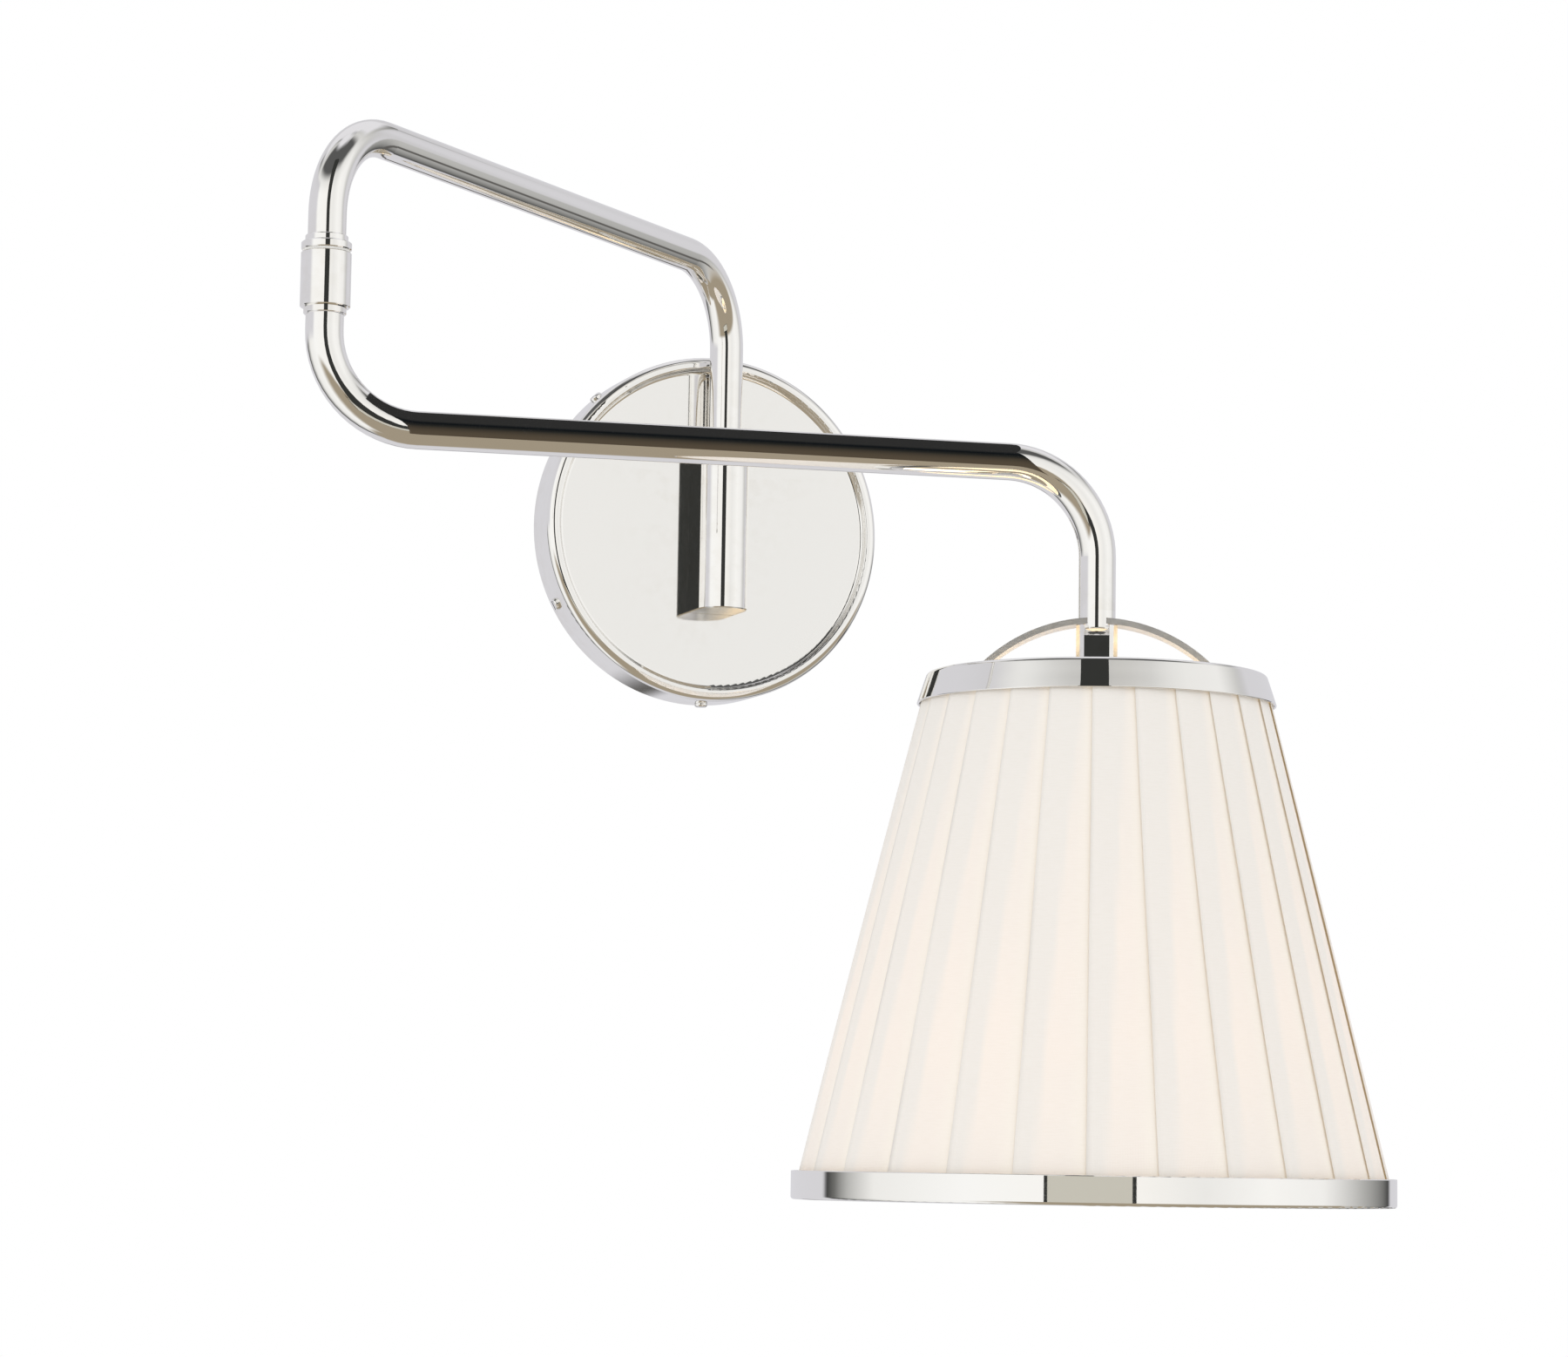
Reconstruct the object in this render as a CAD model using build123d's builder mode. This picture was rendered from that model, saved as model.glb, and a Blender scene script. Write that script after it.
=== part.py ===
"""Swing arm wall sconce: a round canopy, two swinging tube arms and a pleated shade on a lamp holder.

Millimetres, +Z up. The origin is the centre of the canopy on the wall face: X runs along the wall,
Y runs into the wall, so everything stands at negative Y. Heights are absolute unless a comment says
that they are measured down from the lower arm.
"""
from build123d import *
import math
import os

os.makedirs("parts", exist_ok=True)

# ---------------------------------------------------------------- driving dimensions
TUBE_R = 12.7 / 2  # both arms are half-inch tube
TUBE_WALL = 1.0
TUBE_BORE_R = TUBE_R - TUBE_WALL
BEND_R = 31.75  # centre line of every bend
ARM_REACH = 266.7  # hinge axis to hinge axis, and elbow axis to shade axis
UPPER_ARM_Z = 99.2
ARM_STEP = 102.5  # height between the two arms' centre lines
LOWER_ARM_Z = UPPER_ARM_Z - ARM_STEP
UPPER_ARM_HEADING = -138.7  # plan direction at rest, degrees from +X
LOWER_ARM_HEADING = -6.7
RUNNING_CLEARANCE = 0.05  # radial, in both hinges

CANOPY_R = 133.35 / 2
CANOPY_DEPTH = 20.0
CANOPY_WALL = 1.2
CANOPY_EDGE_R = 3.0
CANOPY_RIM = 4.7  # width of the raised front rim
CANOPY_RECESS = 2.8  # face set back behind the rim
FACE_Y = -(CANOPY_DEPTH - CANOPY_RECESS)  # front of the recessed face

PAN_GAP = 0.3  # canopy slips over the mounting pan
PAN_R = CANOPY_R - CANOPY_WALL - PAN_GAP
PAN_WALL = 1.5
PAN_DEPTH = 11.0
PAN_OPENING_R = 27.0
SLOT_CENTRE = 39.7  # box-screw slots: 70 to 89 mm apart
SLOT_TRAVEL = 9.6
SLOT_WIDTH = 4.8
SIDE_SCREW_ANGLES = (48, 132, 208, 270, 332)  # round the canopy, from +X towards +Z
SIDE_SCREW_Y = -6.5
SIDE_TAP_R = 1.4
SIDE_TAP_DEPTH = 6.0
SIDE_HOLE_R = 1.5  # clearance in the canopy
SIDE_HEAD_R = 2.5
SIDE_HEAD_H = 1.3
SIDE_HEAD_EDGE_R = 0.8
SIDE_SHANK_R = 1.35
SIDE_SHANK = 5.0
SIDE_SLOT = (0.7, 3.6)  # width and length
SIDE_SLOT_DEPTH = 0.6
CANOPY_HEM = 1.5  # extra thickness inside the front rim
RIM_EDGE_R = 0.8  # inner edge of the rim
FACE_EDGE_R = 1.8  # where the rim meets the face
GROUND_SCREW_AT = (-32.0, -20.0)
GROUND_SHANK_R = 1.7
GROUND_SHANK = 6.0
GROUND_HEAD_R = 3.6
GROUND_HEAD_H = 2.2
GROUND_SLOT = (8.0, 0.9)
GROUND_SLOT_DEPTH = 1.0

POST_Y = -30.0  # first hinge axis
BLOCK_R = 9.5
BLOCK_HALF = 33.0
BLOCK_BORE_R = 6.0
BLOCK_FLOOR = -27.0  # bottom of the bore
BUSH_LENGTH = 10.0
SPIGOT_R = 4.75
SPIGOT_BORE_R = 2.5
SPIGOT_BOTTOM = -19.5
WASHER_T = 0.8
SET_SCREW_Z = 4.0
SET_SCREW_R = 2.45
SET_SCREW_L = 5.5
SET_SCREW_INSET = 1.0  # sunk behind the block's back
SET_SCREW_GAP = 0.2  # tip to groove floor
SET_TIP_R = 1.5
SET_SOCKET_R = 1.4
SET_SOCKET_DEPTH = 2.5
SET_TAP_R = 2.5
GROOVE_R = 3.6
GROOVE_HALF = 3.0
SPIGOT_TAIL = 16.0  # inside the upper arm
SPIGOT_BUSH_GAP = 0.5
TUBE_PLAY = 0.2  # washer wider than the tube
BLOCK_EDGE = 0.4
BLOCK_SCREW_Z = (20.0, -11.0)
BLOCK_TAP_R = 2.0
BLOCK_SHANK_R = 1.95
BLOCK_SHANK = 5.0  # beyond the canopy's face
BLOCK_HEAD_R = 3.9
BLOCK_HEAD_H = 2.4
BLOCK_CROSS = (4.4, 0.9)
BLOCK_CROSS_DEPTH = 1.4
FACE_SCREW_HOLE_R = 2.6
FACE_HOLE_R = 3.0  # for the wire and the set screw's key
WIRE_R = 1.5
WIRE_HOLE_R = 2.6
WIRE_EXIT_Z = -23.5
WIRE_GAP = 0.3
WIRE_END_Y = -1.0
SUPPLY_BEND = 3.0

COLLAR_R = 14.2 / 2
SLEEVE_R = 16.7 / 2
SPLIT_Z = 55.2  # the elbow turns at this plane
CAP_RING_TOP = 57.8
CAP_COLLAR_TOP = 60.1
SLEEVE_BOTTOM = 36.0
LOWER_COLLAR_BOTTOM = 33.7
PIN_R = 4.0
PIN_BORE_R = 2.0
PIN_BOTTOM = 42.0
ELBOW_BUSH_R = 5.25
NUT_FLATS = 10.0
NUT_H = 3.5
NUT_INSET = 1.0  # nut and bush above the end of the pin
NUT_PLAY = 0.05
PIN_TAIL = 10.0  # inside the upper arm
CAP_SEAT = 3.2  # how far the upper arm goes into the cap
ELBOW_EDGE = 0.3
COLLAR_EDGE = 0.25
WASHER_INSET = 0.5
WIRE_SPLIT = 6.0  # the two arms' wires meet below the split
TUBE_SEAT = 4.0  # how far a tube goes into its fitting

# down from the lower arm's centre line
STRAP_TOP = 52.8
NECK_TOP = 59.1
COUPLING_BOTTOM = 70.0
RING_TOP = 72.3
RING_H = 10.4
CLOTH_TOP = 82.0
LOWER_RING_TOP = 241.3
LOWER_RING_H = 9.6

STRAP_W = 11.0
STRAP_T = 2.0
STRAP_R = 56.0  # outer face of the arch
STRAP_HEADING = LOWER_ARM_HEADING - 17.0
STRAP_FOOT_R = 4.0
STRAP_REACH = 55.6
RIVET_INSET = 1.6
RIVET_R = 1.0
RIVET_HEAD_R = 1.8
RIVET_HEAD_H = 0.8
RING_CROWN_R = 1.6  # rounding of the ring's upper edge
RING_HEM_R = 0.3  # rounding of thin ring edges
LOWER_RING_EDGE_R = 1.0
LOWER_RING_LIP = 4.0
CLOTH_TUCK = 2.0  # cloth inside the lower ring
RING_TOP_R = 57.8
RING_FOOT_R = 61.2
RING_T = 0.8
RING_LIP_R = 52.6  # inner edge of the flat lip at the top of the ring
LIP_T = 1.0
LOWER_RING_R = 203.2 / 2
CLOTH_T = 1.2
LINER_T = 0.6
CLOTH_R_TOP = 60.0
CLOTH_R_FOOT = 99.2
HUB_NECK_R = 4.6
NIPPLE_R = 3.2
NIPPLE_BORE_R = 1.9
COVE_TOP = 56.0
COVE_R = 4.0
HUB_SEAT = 2.5  # arm tube ends this far above the strap
HUB_FLOOR = 2.0
HUB_TAIL = 8.0  # inside the lower arm
COUPLING_TOP = 55.4  # its two cheeks reach up to the strap
COUPLING_W = 14.0
COUPLING_CHAMFER = 2.7
COUPLING_FLAT = COUPLING_W - 2 * COUPLING_CHAMFER
HUB_PLAY = 0.1
NIPPLE_TAIL = 4.5
SOCKET_NUT_R = 5.5
SOCKET_NUT_H = 3.0
WIRE_TAIL = 4.0

CUP_R = 20.0
CUP_T = 1.0
CUP_H = 22.0
CUP_EDGE_R = 2.5
HOLDER_R = 18.6
HOLDER_BOTTOM = 118.0
HOLDER_SEAT = 5.0
HOLDER_HOLE_R = 4.0
HOLDER_FLOOR = 4.0
HOLDER_EDGE_R = 1.5
CONTACT_L = 18.0
CONTACT_W = 5.0
CONTACT_T = 0.8
CONTACT_BUTTON_R = 3.0
SHELL_R = 13.8
SHELL_T = 0.6
SHELL_TOP = 90.0
SHELL_INSET = 1.5
BULB_TOP = 94.0
BULB_TIP_R = 4.5
BULB_TIP_T = 1.2
BULB_SHOULDER = 3.5
BULB_SHOULDER_INNER = 3.8
BULB_SEAT = 1.0
BULB_NECK_R = 12.9
GLOBE_R = 30.0
GLOBE_CENTRE = 176.0
GLOBE_SHOULDER = math.radians(25)  # above the globe's middle
GLOBE_SIDE = math.radians(30)  # below it
GLASS_T = 0.8


# ---------------------------------------------------------------- places worked out from them
def heading(degrees):
    """Unit vector in plan for a heading in degrees."""
    return Vector(math.cos(math.radians(degrees)), math.sin(math.radians(degrees)), 0)


def upright(at, direction):
    """Vertical plane through a plan point: x runs along the direction, y runs up."""
    return Plane(origin=(at.X, at.Y, 0), x_dir=direction, z_dir=direction.cross(Vector(0, 0, 1)))


def across_strap(drop):
    """Horizontal plane over the shade's axis, turned with the strap, at a drop below the lower arm."""
    return Plane(origin=(SHADE.X, SHADE.Y, below(drop)), x_dir=heading(STRAP_HEADING), z_dir=(0, 0, 1))


def rivet_places():
    """Plan offsets of the two strap rivets from the shade's axis."""
    return [heading(STRAP_HEADING + side) * (STRAP_REACH - RIVET_INSET) for side in (0, 180)]


def circles_over(part, radius):
    """Circular edges of a part that are larger than a radius."""
    return part.edges().filter_by(GeomType.CIRCLE).filter_by(lambda e: e.length > 2 * math.pi * radius)


def upright_axis(at):
    """Vertical axis through a plan point."""
    return Axis((at.X, at.Y, 0), (0, 0, 1))


def level(at, z):
    """Horizontal plane with its origin over a plan point."""
    return Plane(origin=(at.X, at.Y, z), x_dir=(1, 0, 0), z_dir=(0, 0, 1))


def below(drop):
    """Absolute height of something measured down from the lower arm."""
    return LOWER_ARM_Z - drop


POST = Vector(0, POST_Y, 0)
ELBOW = POST + heading(UPPER_ARM_HEADING) * ARM_REACH
SHADE = ELBOW + heading(LOWER_ARM_HEADING) * ARM_REACH
POST_PLANE = upright(POST, Vector(1, 0, 0))
UPPER_PLANE = upright(POST, heading(UPPER_ARM_HEADING))
ELBOW_PLANE = upright(ELBOW, heading(LOWER_ARM_HEADING))
SHADE_PLANE = upright(SHADE, heading(STRAP_HEADING))
TUBE_FOOT = BLOCK_HALF + WASHER_T  # lower end of the upper arm, on its thrust washer


def save(part, label):
    """Label a finished piece and write it out."""
    part.label = label
    export_step(part, f"parts/{label}.step")


def side_plane(angle):
    """Plane facing outward on the canopy's side wall, at the height of the side screws."""
    outward = Vector(math.cos(math.radians(angle)), 0, math.sin(math.radians(angle)))
    origin = outward * CANOPY_R + Vector(0, SIDE_SCREW_Y, 0)
    return Plane(origin=origin, x_dir=(0, 1, 0), z_dir=outward)


def wall_plane(y):
    """Plane parallel to the wall and facing the room: x runs along the wall and y runs up."""
    return Plane(origin=(0, y, 0), x_dir=(1, 0, 0), z_dir=(0, -1, 0))


# ---------------------------------------------------------------- fixed body: wall side
with BuildPart() as mounting_pan:
    with BuildSketch(Plane.XY) as pan_section:
        with BuildLine():
            Polyline(
                (PAN_OPENING_R, -PAN_DEPTH),
                (PAN_R, -PAN_DEPTH),
                (PAN_R, 0),
                (PAN_R - PAN_WALL, 0),
                (PAN_R - PAN_WALL, PAN_WALL - PAN_DEPTH),
                (PAN_OPENING_R, PAN_WALL - PAN_DEPTH),
                close=True,
            )
        make_face()
    revolve(axis=Axis.Y)
    with BuildSketch(wall_plane(0)):
        with Locations((SLOT_CENTRE, 0), (-SLOT_CENTRE, 0)):
            SlotCenterToCenter(SLOT_TRAVEL, SLOT_WIDTH)
        with Locations(GROUND_SCREW_AT):
            Circle(GROUND_SHANK_R)
    extrude(amount=PAN_DEPTH, mode=Mode.SUBTRACT)
    for screw_angle in SIDE_SCREW_ANGLES:
        with BuildSketch(side_plane(screw_angle)):
            Circle(SIDE_TAP_R)
        extrude(amount=-SIDE_TAP_DEPTH, mode=Mode.SUBTRACT)
save(mounting_pan.part, "mounting_pan")

with BuildPart() as ground_screw:
    with BuildSketch(wall_plane(-PAN_DEPTH)):
        with Locations(GROUND_SCREW_AT):
            RegularPolygon(GROUND_HEAD_R, 6)
    extrude(amount=GROUND_HEAD_H)
    with BuildSketch(wall_plane(-PAN_DEPTH - GROUND_HEAD_H)):
        with Locations(GROUND_SCREW_AT):
            Rectangle(*GROUND_SLOT)
    extrude(amount=-GROUND_SLOT_DEPTH, mode=Mode.SUBTRACT)
    with BuildSketch(wall_plane(-PAN_DEPTH)):
        with Locations(GROUND_SCREW_AT):
            Circle(GROUND_SHANK_R)
    extrude(amount=-GROUND_SHANK)
save(ground_screw.part, "ground_screw")

with BuildPart() as canopy:
    with BuildSketch(Plane.XY):
        with BuildLine():
            Polyline(
                (CANOPY_R, 0),
                (CANOPY_R, -CANOPY_DEPTH),
                (CANOPY_R - CANOPY_RIM, -CANOPY_DEPTH),
                (CANOPY_R - CANOPY_RIM, FACE_Y),
                (0, FACE_Y),
                (0, FACE_Y + CANOPY_WALL),
                (CANOPY_R - CANOPY_RIM - CANOPY_WALL, FACE_Y + CANOPY_WALL),
                (CANOPY_R - CANOPY_RIM - CANOPY_WALL, FACE_Y + CANOPY_WALL + CANOPY_HEM),
                (CANOPY_R - CANOPY_WALL, FACE_Y + CANOPY_WALL + CANOPY_HEM),
                (CANOPY_R - CANOPY_WALL, 0),
                close=True,
            )
        make_face()
    revolve(axis=Axis.Y)
    wide_edges = circles_over(canopy, CANOPY_R / 2)
    front_edges = wide_edges.filter_by(lambda e: abs(e.center().Y + CANOPY_DEPTH) < 0.01)
    rim_outer = front_edges.sort_by(SortBy.LENGTH)[-1]
    rim_inner = front_edges.sort_by(SortBy.LENGTH)[0]
    face_edge = wide_edges.filter_by(lambda e: abs(e.center().Y - FACE_Y) < 0.01)
    fillet(rim_outer, radius=CANOPY_EDGE_R)
    fillet(rim_inner, radius=RIM_EDGE_R)
    fillet(face_edge, radius=FACE_EDGE_R)
    with BuildSketch(wall_plane(FACE_Y)):
        with Locations(*((0, z) for z in BLOCK_SCREW_Z)):
            Circle(FACE_SCREW_HOLE_R)
        with Locations((0, WIRE_EXIT_Z), (0, SET_SCREW_Z)):
            Circle(FACE_HOLE_R)
    extrude(amount=-CANOPY_WALL, mode=Mode.SUBTRACT)
    for screw_angle in SIDE_SCREW_ANGLES:
        with BuildSketch(side_plane(screw_angle)):
            Circle(SIDE_HOLE_R)
        extrude(amount=-CANOPY_WALL - PAN_GAP, mode=Mode.SUBTRACT)
save(canopy.part, "canopy")

with BuildPart() as canopy_screws:
    for screw_angle in SIDE_SCREW_ANGLES:
        with BuildSketch(side_plane(screw_angle)):
            Circle(SIDE_HEAD_R)
        extrude(amount=SIDE_HEAD_H)
        with BuildSketch(side_plane(screw_angle)):
            Circle(SIDE_SHANK_R)
        extrude(amount=-SIDE_SHANK)
    head_rims = circles_over(canopy_screws, SIDE_HEAD_R - 0.1).filter_by(
        lambda e: Vector(e.center().X, 0, e.center().Z).length > CANOPY_R + SIDE_HEAD_H / 2
    )
    fillet(head_rims, radius=SIDE_HEAD_EDGE_R)
    for screw_angle in SIDE_SCREW_ANGLES:
        with BuildSketch(side_plane(screw_angle).offset(SIDE_HEAD_H)):
            Rectangle(*SIDE_SLOT)
        extrude(amount=-SIDE_SLOT_DEPTH, mode=Mode.SUBTRACT)
save(canopy_screws.part, "canopy_screws")

with BuildPart() as hinge_block:
    with BuildSketch(level(POST, -BLOCK_HALF)):
        Circle(BLOCK_R)
        with Locations((0, (FACE_Y - POST_Y) / 2)):
            Rectangle(2 * BLOCK_R, FACE_Y - POST_Y)
    extrude(amount=2 * BLOCK_HALF)
    chamfer(hinge_block.faces().sort_by(Axis.Z)[0].edges(), length=BLOCK_EDGE)
    chamfer(hinge_block.faces().sort_by(Axis.Z)[-1].edges(), length=BLOCK_EDGE)
    with BuildSketch(level(POST, BLOCK_HALF)):
        Circle(BLOCK_BORE_R)
    extrude(amount=BLOCK_FLOOR - BLOCK_HALF, mode=Mode.SUBTRACT)
    with BuildSketch(wall_plane(FACE_Y)):
        with Locations(*((0, z) for z in BLOCK_SCREW_Z)):
            Circle(BLOCK_TAP_R)
        with Locations((0, SET_SCREW_Z)):
            Circle(SET_TAP_R)
        with Locations((0, WIRE_EXIT_Z)):
            Circle(WIRE_HOLE_R)
    extrude(amount=FACE_Y - POST_Y, mode=Mode.SUBTRACT)
save(hinge_block.part, "hinge_block")

with BuildPart() as hinge_block_screws:
    for screw_z in BLOCK_SCREW_Z:
        with BuildSketch(wall_plane(FACE_Y + CANOPY_WALL)):
            with Locations((0, screw_z)):
                Circle(BLOCK_HEAD_R)
        extrude(amount=-BLOCK_HEAD_H)
        with BuildSketch(wall_plane(FACE_Y + CANOPY_WALL)):
            with Locations((0, screw_z)):
                Circle(BLOCK_SHANK_R)
        extrude(amount=CANOPY_WALL + BLOCK_SHANK)
        with BuildSketch(wall_plane(FACE_Y + CANOPY_WALL + BLOCK_HEAD_H)):
            with Locations((0, screw_z)):
                Rectangle(*BLOCK_CROSS)
                Rectangle(*BLOCK_CROSS, rotation=90)
        extrude(amount=BLOCK_CROSS_DEPTH, mode=Mode.SUBTRACT)
save(hinge_block_screws.part, "hinge_block_screws")

SET_BACK_Y = FACE_Y - SET_SCREW_INSET
SET_TIP_Y = SET_BACK_Y - SET_SCREW_L
with BuildPart() as post_set_screw:
    with BuildSketch(wall_plane(SET_BACK_Y)):
        with Locations((0, SET_SCREW_Z)):
            Circle(SET_SCREW_R)
    extrude(amount=SET_SCREW_L)
    with BuildSketch(wall_plane(SET_TIP_Y)):
        with Locations((0, SET_SCREW_Z)):
            Circle(SET_TIP_R)
    extrude(amount=SET_TIP_Y - POST_Y - GROOVE_R - SET_SCREW_GAP)
    with BuildSketch(wall_plane(SET_BACK_Y)):
        with Locations((0, SET_SCREW_Z)):
            RegularPolygon(SET_SOCKET_R, 6)
    extrude(amount=SET_SOCKET_DEPTH, mode=Mode.SUBTRACT)
save(post_set_screw.part, "post_set_screw")

with BuildPart() as post_bushes:
    for bush_bottom in (BLOCK_HALF - BUSH_LENGTH, SPIGOT_BOTTOM + SPIGOT_BUSH_GAP):
        with BuildSketch(level(POST, bush_bottom)):
            Circle(BLOCK_BORE_R)
            Circle(SPIGOT_R + RUNNING_CLEARANCE, mode=Mode.SUBTRACT)
        extrude(amount=BUSH_LENGTH)
save(post_bushes.part, "post_bushes")

with BuildPart() as post_washer:
    with BuildSketch(level(POST, BLOCK_HALF)):
        Circle(TUBE_R + TUBE_PLAY)
        Circle(SPIGOT_R + RUNNING_CLEARANCE, mode=Mode.SUBTRACT)
    extrude(amount=WASHER_T)
save(post_washer.part, "post_washer")

with BuildPart() as supply_wire:
    with BuildLine(Plane(origin=(0, 0, 0), x_dir=(0, 1, 0), z_dir=(1, 0, 0))) as supply_route:
        FilletPolyline(
            (POST_Y, SPIGOT_BOTTOM - WIRE_GAP),
            (POST_Y, WIRE_EXIT_Z),
            (WIRE_END_Y, WIRE_EXIT_Z),
            radius=SUPPLY_BEND,
        )
    with BuildSketch(Plane(origin=supply_route.line @ 0, z_dir=supply_route.line % 0)):
        Circle(WIRE_R)
    sweep(path=supply_route.line)
save(supply_wire.part, "supply_wire")

# ---------------------------------------------------------------- upper arm
CAP_SEAT_Z = CAP_COLLAR_TOP - CAP_SEAT  # end of the tube inside the elbow cap
with BuildPart() as upper_arm:
    with BuildLine(UPPER_PLANE) as upper_route:
        FilletPolyline(
            (0, TUBE_FOOT),
            (0, UPPER_ARM_Z),
            (ARM_REACH, UPPER_ARM_Z),
            (ARM_REACH, CAP_SEAT_Z),
            radius=BEND_R,
        )
    with BuildSketch(level(POST, TUBE_FOOT)):
        Circle(TUBE_R)
        Circle(TUBE_BORE_R, mode=Mode.SUBTRACT)
    sweep(path=upper_route.line)
save(upper_arm.part, "upper_arm")

with BuildPart() as post_spigot:
    with BuildSketch(POST_PLANE):
        with BuildLine():
            Polyline(
                (SPIGOT_BORE_R, SPIGOT_BOTTOM),
                (SPIGOT_R, SPIGOT_BOTTOM),
                (SPIGOT_R, SET_SCREW_Z - GROOVE_HALF),
                (GROOVE_R, SET_SCREW_Z - GROOVE_HALF),
                (GROOVE_R, SET_SCREW_Z + GROOVE_HALF),
                (SPIGOT_R, SET_SCREW_Z + GROOVE_HALF),
                (SPIGOT_R, TUBE_FOOT),
                (TUBE_BORE_R, TUBE_FOOT),
                (TUBE_BORE_R, TUBE_FOOT + SPIGOT_TAIL),
                (SPIGOT_BORE_R, TUBE_FOOT + SPIGOT_TAIL),
                close=True,
            )
        make_face()
    revolve(axis=upright_axis(POST))
save(post_spigot.part, "post_spigot")

with BuildPart() as elbow_cap:
    with BuildSketch(ELBOW_PLANE):
        with BuildLine():
            Polyline(
                (PIN_R, SPLIT_Z),
                (SLEEVE_R, SPLIT_Z),
                (SLEEVE_R, CAP_RING_TOP),
                (COLLAR_R, CAP_RING_TOP),
                (COLLAR_R, CAP_COLLAR_TOP),
                (TUBE_R, CAP_COLLAR_TOP),
                (TUBE_R, CAP_SEAT_Z),
                (PIN_R, CAP_SEAT_Z),
                close=True,
            )
        make_face()
    revolve(axis=upright_axis(ELBOW))
    chamfer(circles_over(elbow_cap, COLLAR_R - ELBOW_EDGE), length=ELBOW_EDGE)
save(elbow_cap.part, "elbow_cap")

with BuildPart() as elbow_pin:
    with BuildSketch(ELBOW_PLANE):
        with BuildLine():
            Polyline(
                (PIN_BORE_R, PIN_BOTTOM),
                (PIN_R, PIN_BOTTOM),
                (PIN_R, CAP_SEAT_Z),
                (TUBE_BORE_R, CAP_SEAT_Z),
                (TUBE_BORE_R, CAP_SEAT_Z + PIN_TAIL),
                (PIN_BORE_R, CAP_SEAT_Z + PIN_TAIL),
                close=True,
            )
        make_face()
    revolve(axis=upright_axis(ELBOW))
save(elbow_pin.part, "elbow_pin")

BUSH_BOTTOM = PIN_BOTTOM + NUT_INSET + NUT_H
with BuildPart() as elbow_nut:
    with BuildSketch(level(ELBOW, PIN_BOTTOM + NUT_INSET - NUT_PLAY)):
        RegularPolygon(NUT_FLATS / 2, 6, major_radius=False)
        Circle(PIN_R, mode=Mode.SUBTRACT)
    extrude(amount=NUT_H)
save(elbow_nut.part, "elbow_nut")

WIRE_SPLIT_Z = SPLIT_Z - WIRE_SPLIT
with BuildPart() as upper_arm_wire:
    with BuildLine(UPPER_PLANE) as upper_wire_route:
        FilletPolyline(
            (0, SPIGOT_BOTTOM - WIRE_GAP),
            (0, UPPER_ARM_Z),
            (ARM_REACH, UPPER_ARM_Z),
            (ARM_REACH, WIRE_SPLIT_Z),
            radius=BEND_R,
        )
    with BuildSketch(level(POST, SPIGOT_BOTTOM - WIRE_GAP)):
        Circle(WIRE_R)
    sweep(path=upper_wire_route.line)
save(upper_arm_wire.part, "upper_arm_wire")

# ---------------------------------------------------------------- lower arm: elbow side
SLEEVE_TOP = SPLIT_Z - WASHER_T
TUBE_TOP = SLEEVE_BOTTOM + TUBE_SEAT
with BuildPart() as elbow_sleeve:
    with BuildSketch(ELBOW_PLANE):
        with BuildLine():
            Polyline(
                (ELBOW_BUSH_R, SLEEVE_TOP),
                (SLEEVE_R, SLEEVE_TOP),
                (SLEEVE_R, SLEEVE_BOTTOM),
                (TUBE_R, SLEEVE_BOTTOM),
                (TUBE_R, BUSH_BOTTOM),
                (ELBOW_BUSH_R, BUSH_BOTTOM),
                close=True,
            )
        make_face()
    revolve(axis=upright_axis(ELBOW))
    chamfer(circles_over(elbow_sleeve, SLEEVE_R - ELBOW_EDGE), length=ELBOW_EDGE)
save(elbow_sleeve.part, "elbow_sleeve")

with BuildPart() as elbow_bush:
    with BuildSketch(level(ELBOW, BUSH_BOTTOM)):
        Circle(ELBOW_BUSH_R)
        Circle(PIN_R + RUNNING_CLEARANCE, mode=Mode.SUBTRACT)
    extrude(amount=SLEEVE_TOP - BUSH_BOTTOM)
save(elbow_bush.part, "elbow_bush")

with BuildPart() as elbow_washer:
    with BuildSketch(level(ELBOW, SLEEVE_TOP)):
        Circle(SLEEVE_R - WASHER_INSET)
        Circle(PIN_R + RUNNING_CLEARANCE, mode=Mode.SUBTRACT)
    extrude(amount=WASHER_T)
save(elbow_washer.part, "elbow_washer")

with BuildPart() as elbow_collar:
    with BuildSketch(level(ELBOW, LOWER_COLLAR_BOTTOM)):
        Circle(COLLAR_R)
        Circle(TUBE_R, mode=Mode.SUBTRACT)
    extrude(amount=SLEEVE_BOTTOM - LOWER_COLLAR_BOTTOM)
    chamfer(elbow_collar.edges().group_by(Axis.Z)[0].sort_by(SortBy.LENGTH)[-1], length=COLLAR_EDGE)
save(elbow_collar.part, "elbow_collar")

HUB_TOP = STRAP_TOP - HUB_SEAT  # end of the lower arm's tube, down from its centre line
with BuildPart() as lower_arm:
    with BuildLine(ELBOW_PLANE) as lower_route:
        FilletPolyline(
            (0, TUBE_TOP),
            (0, LOWER_ARM_Z),
            (ARM_REACH, LOWER_ARM_Z),
            (ARM_REACH, below(HUB_TOP)),
            radius=BEND_R,
        )
    with BuildSketch(level(ELBOW, TUBE_TOP)):
        Circle(TUBE_R)
        Circle(TUBE_BORE_R, mode=Mode.SUBTRACT)
    sweep(path=lower_route.line)
save(lower_arm.part, "lower_arm")

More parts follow.
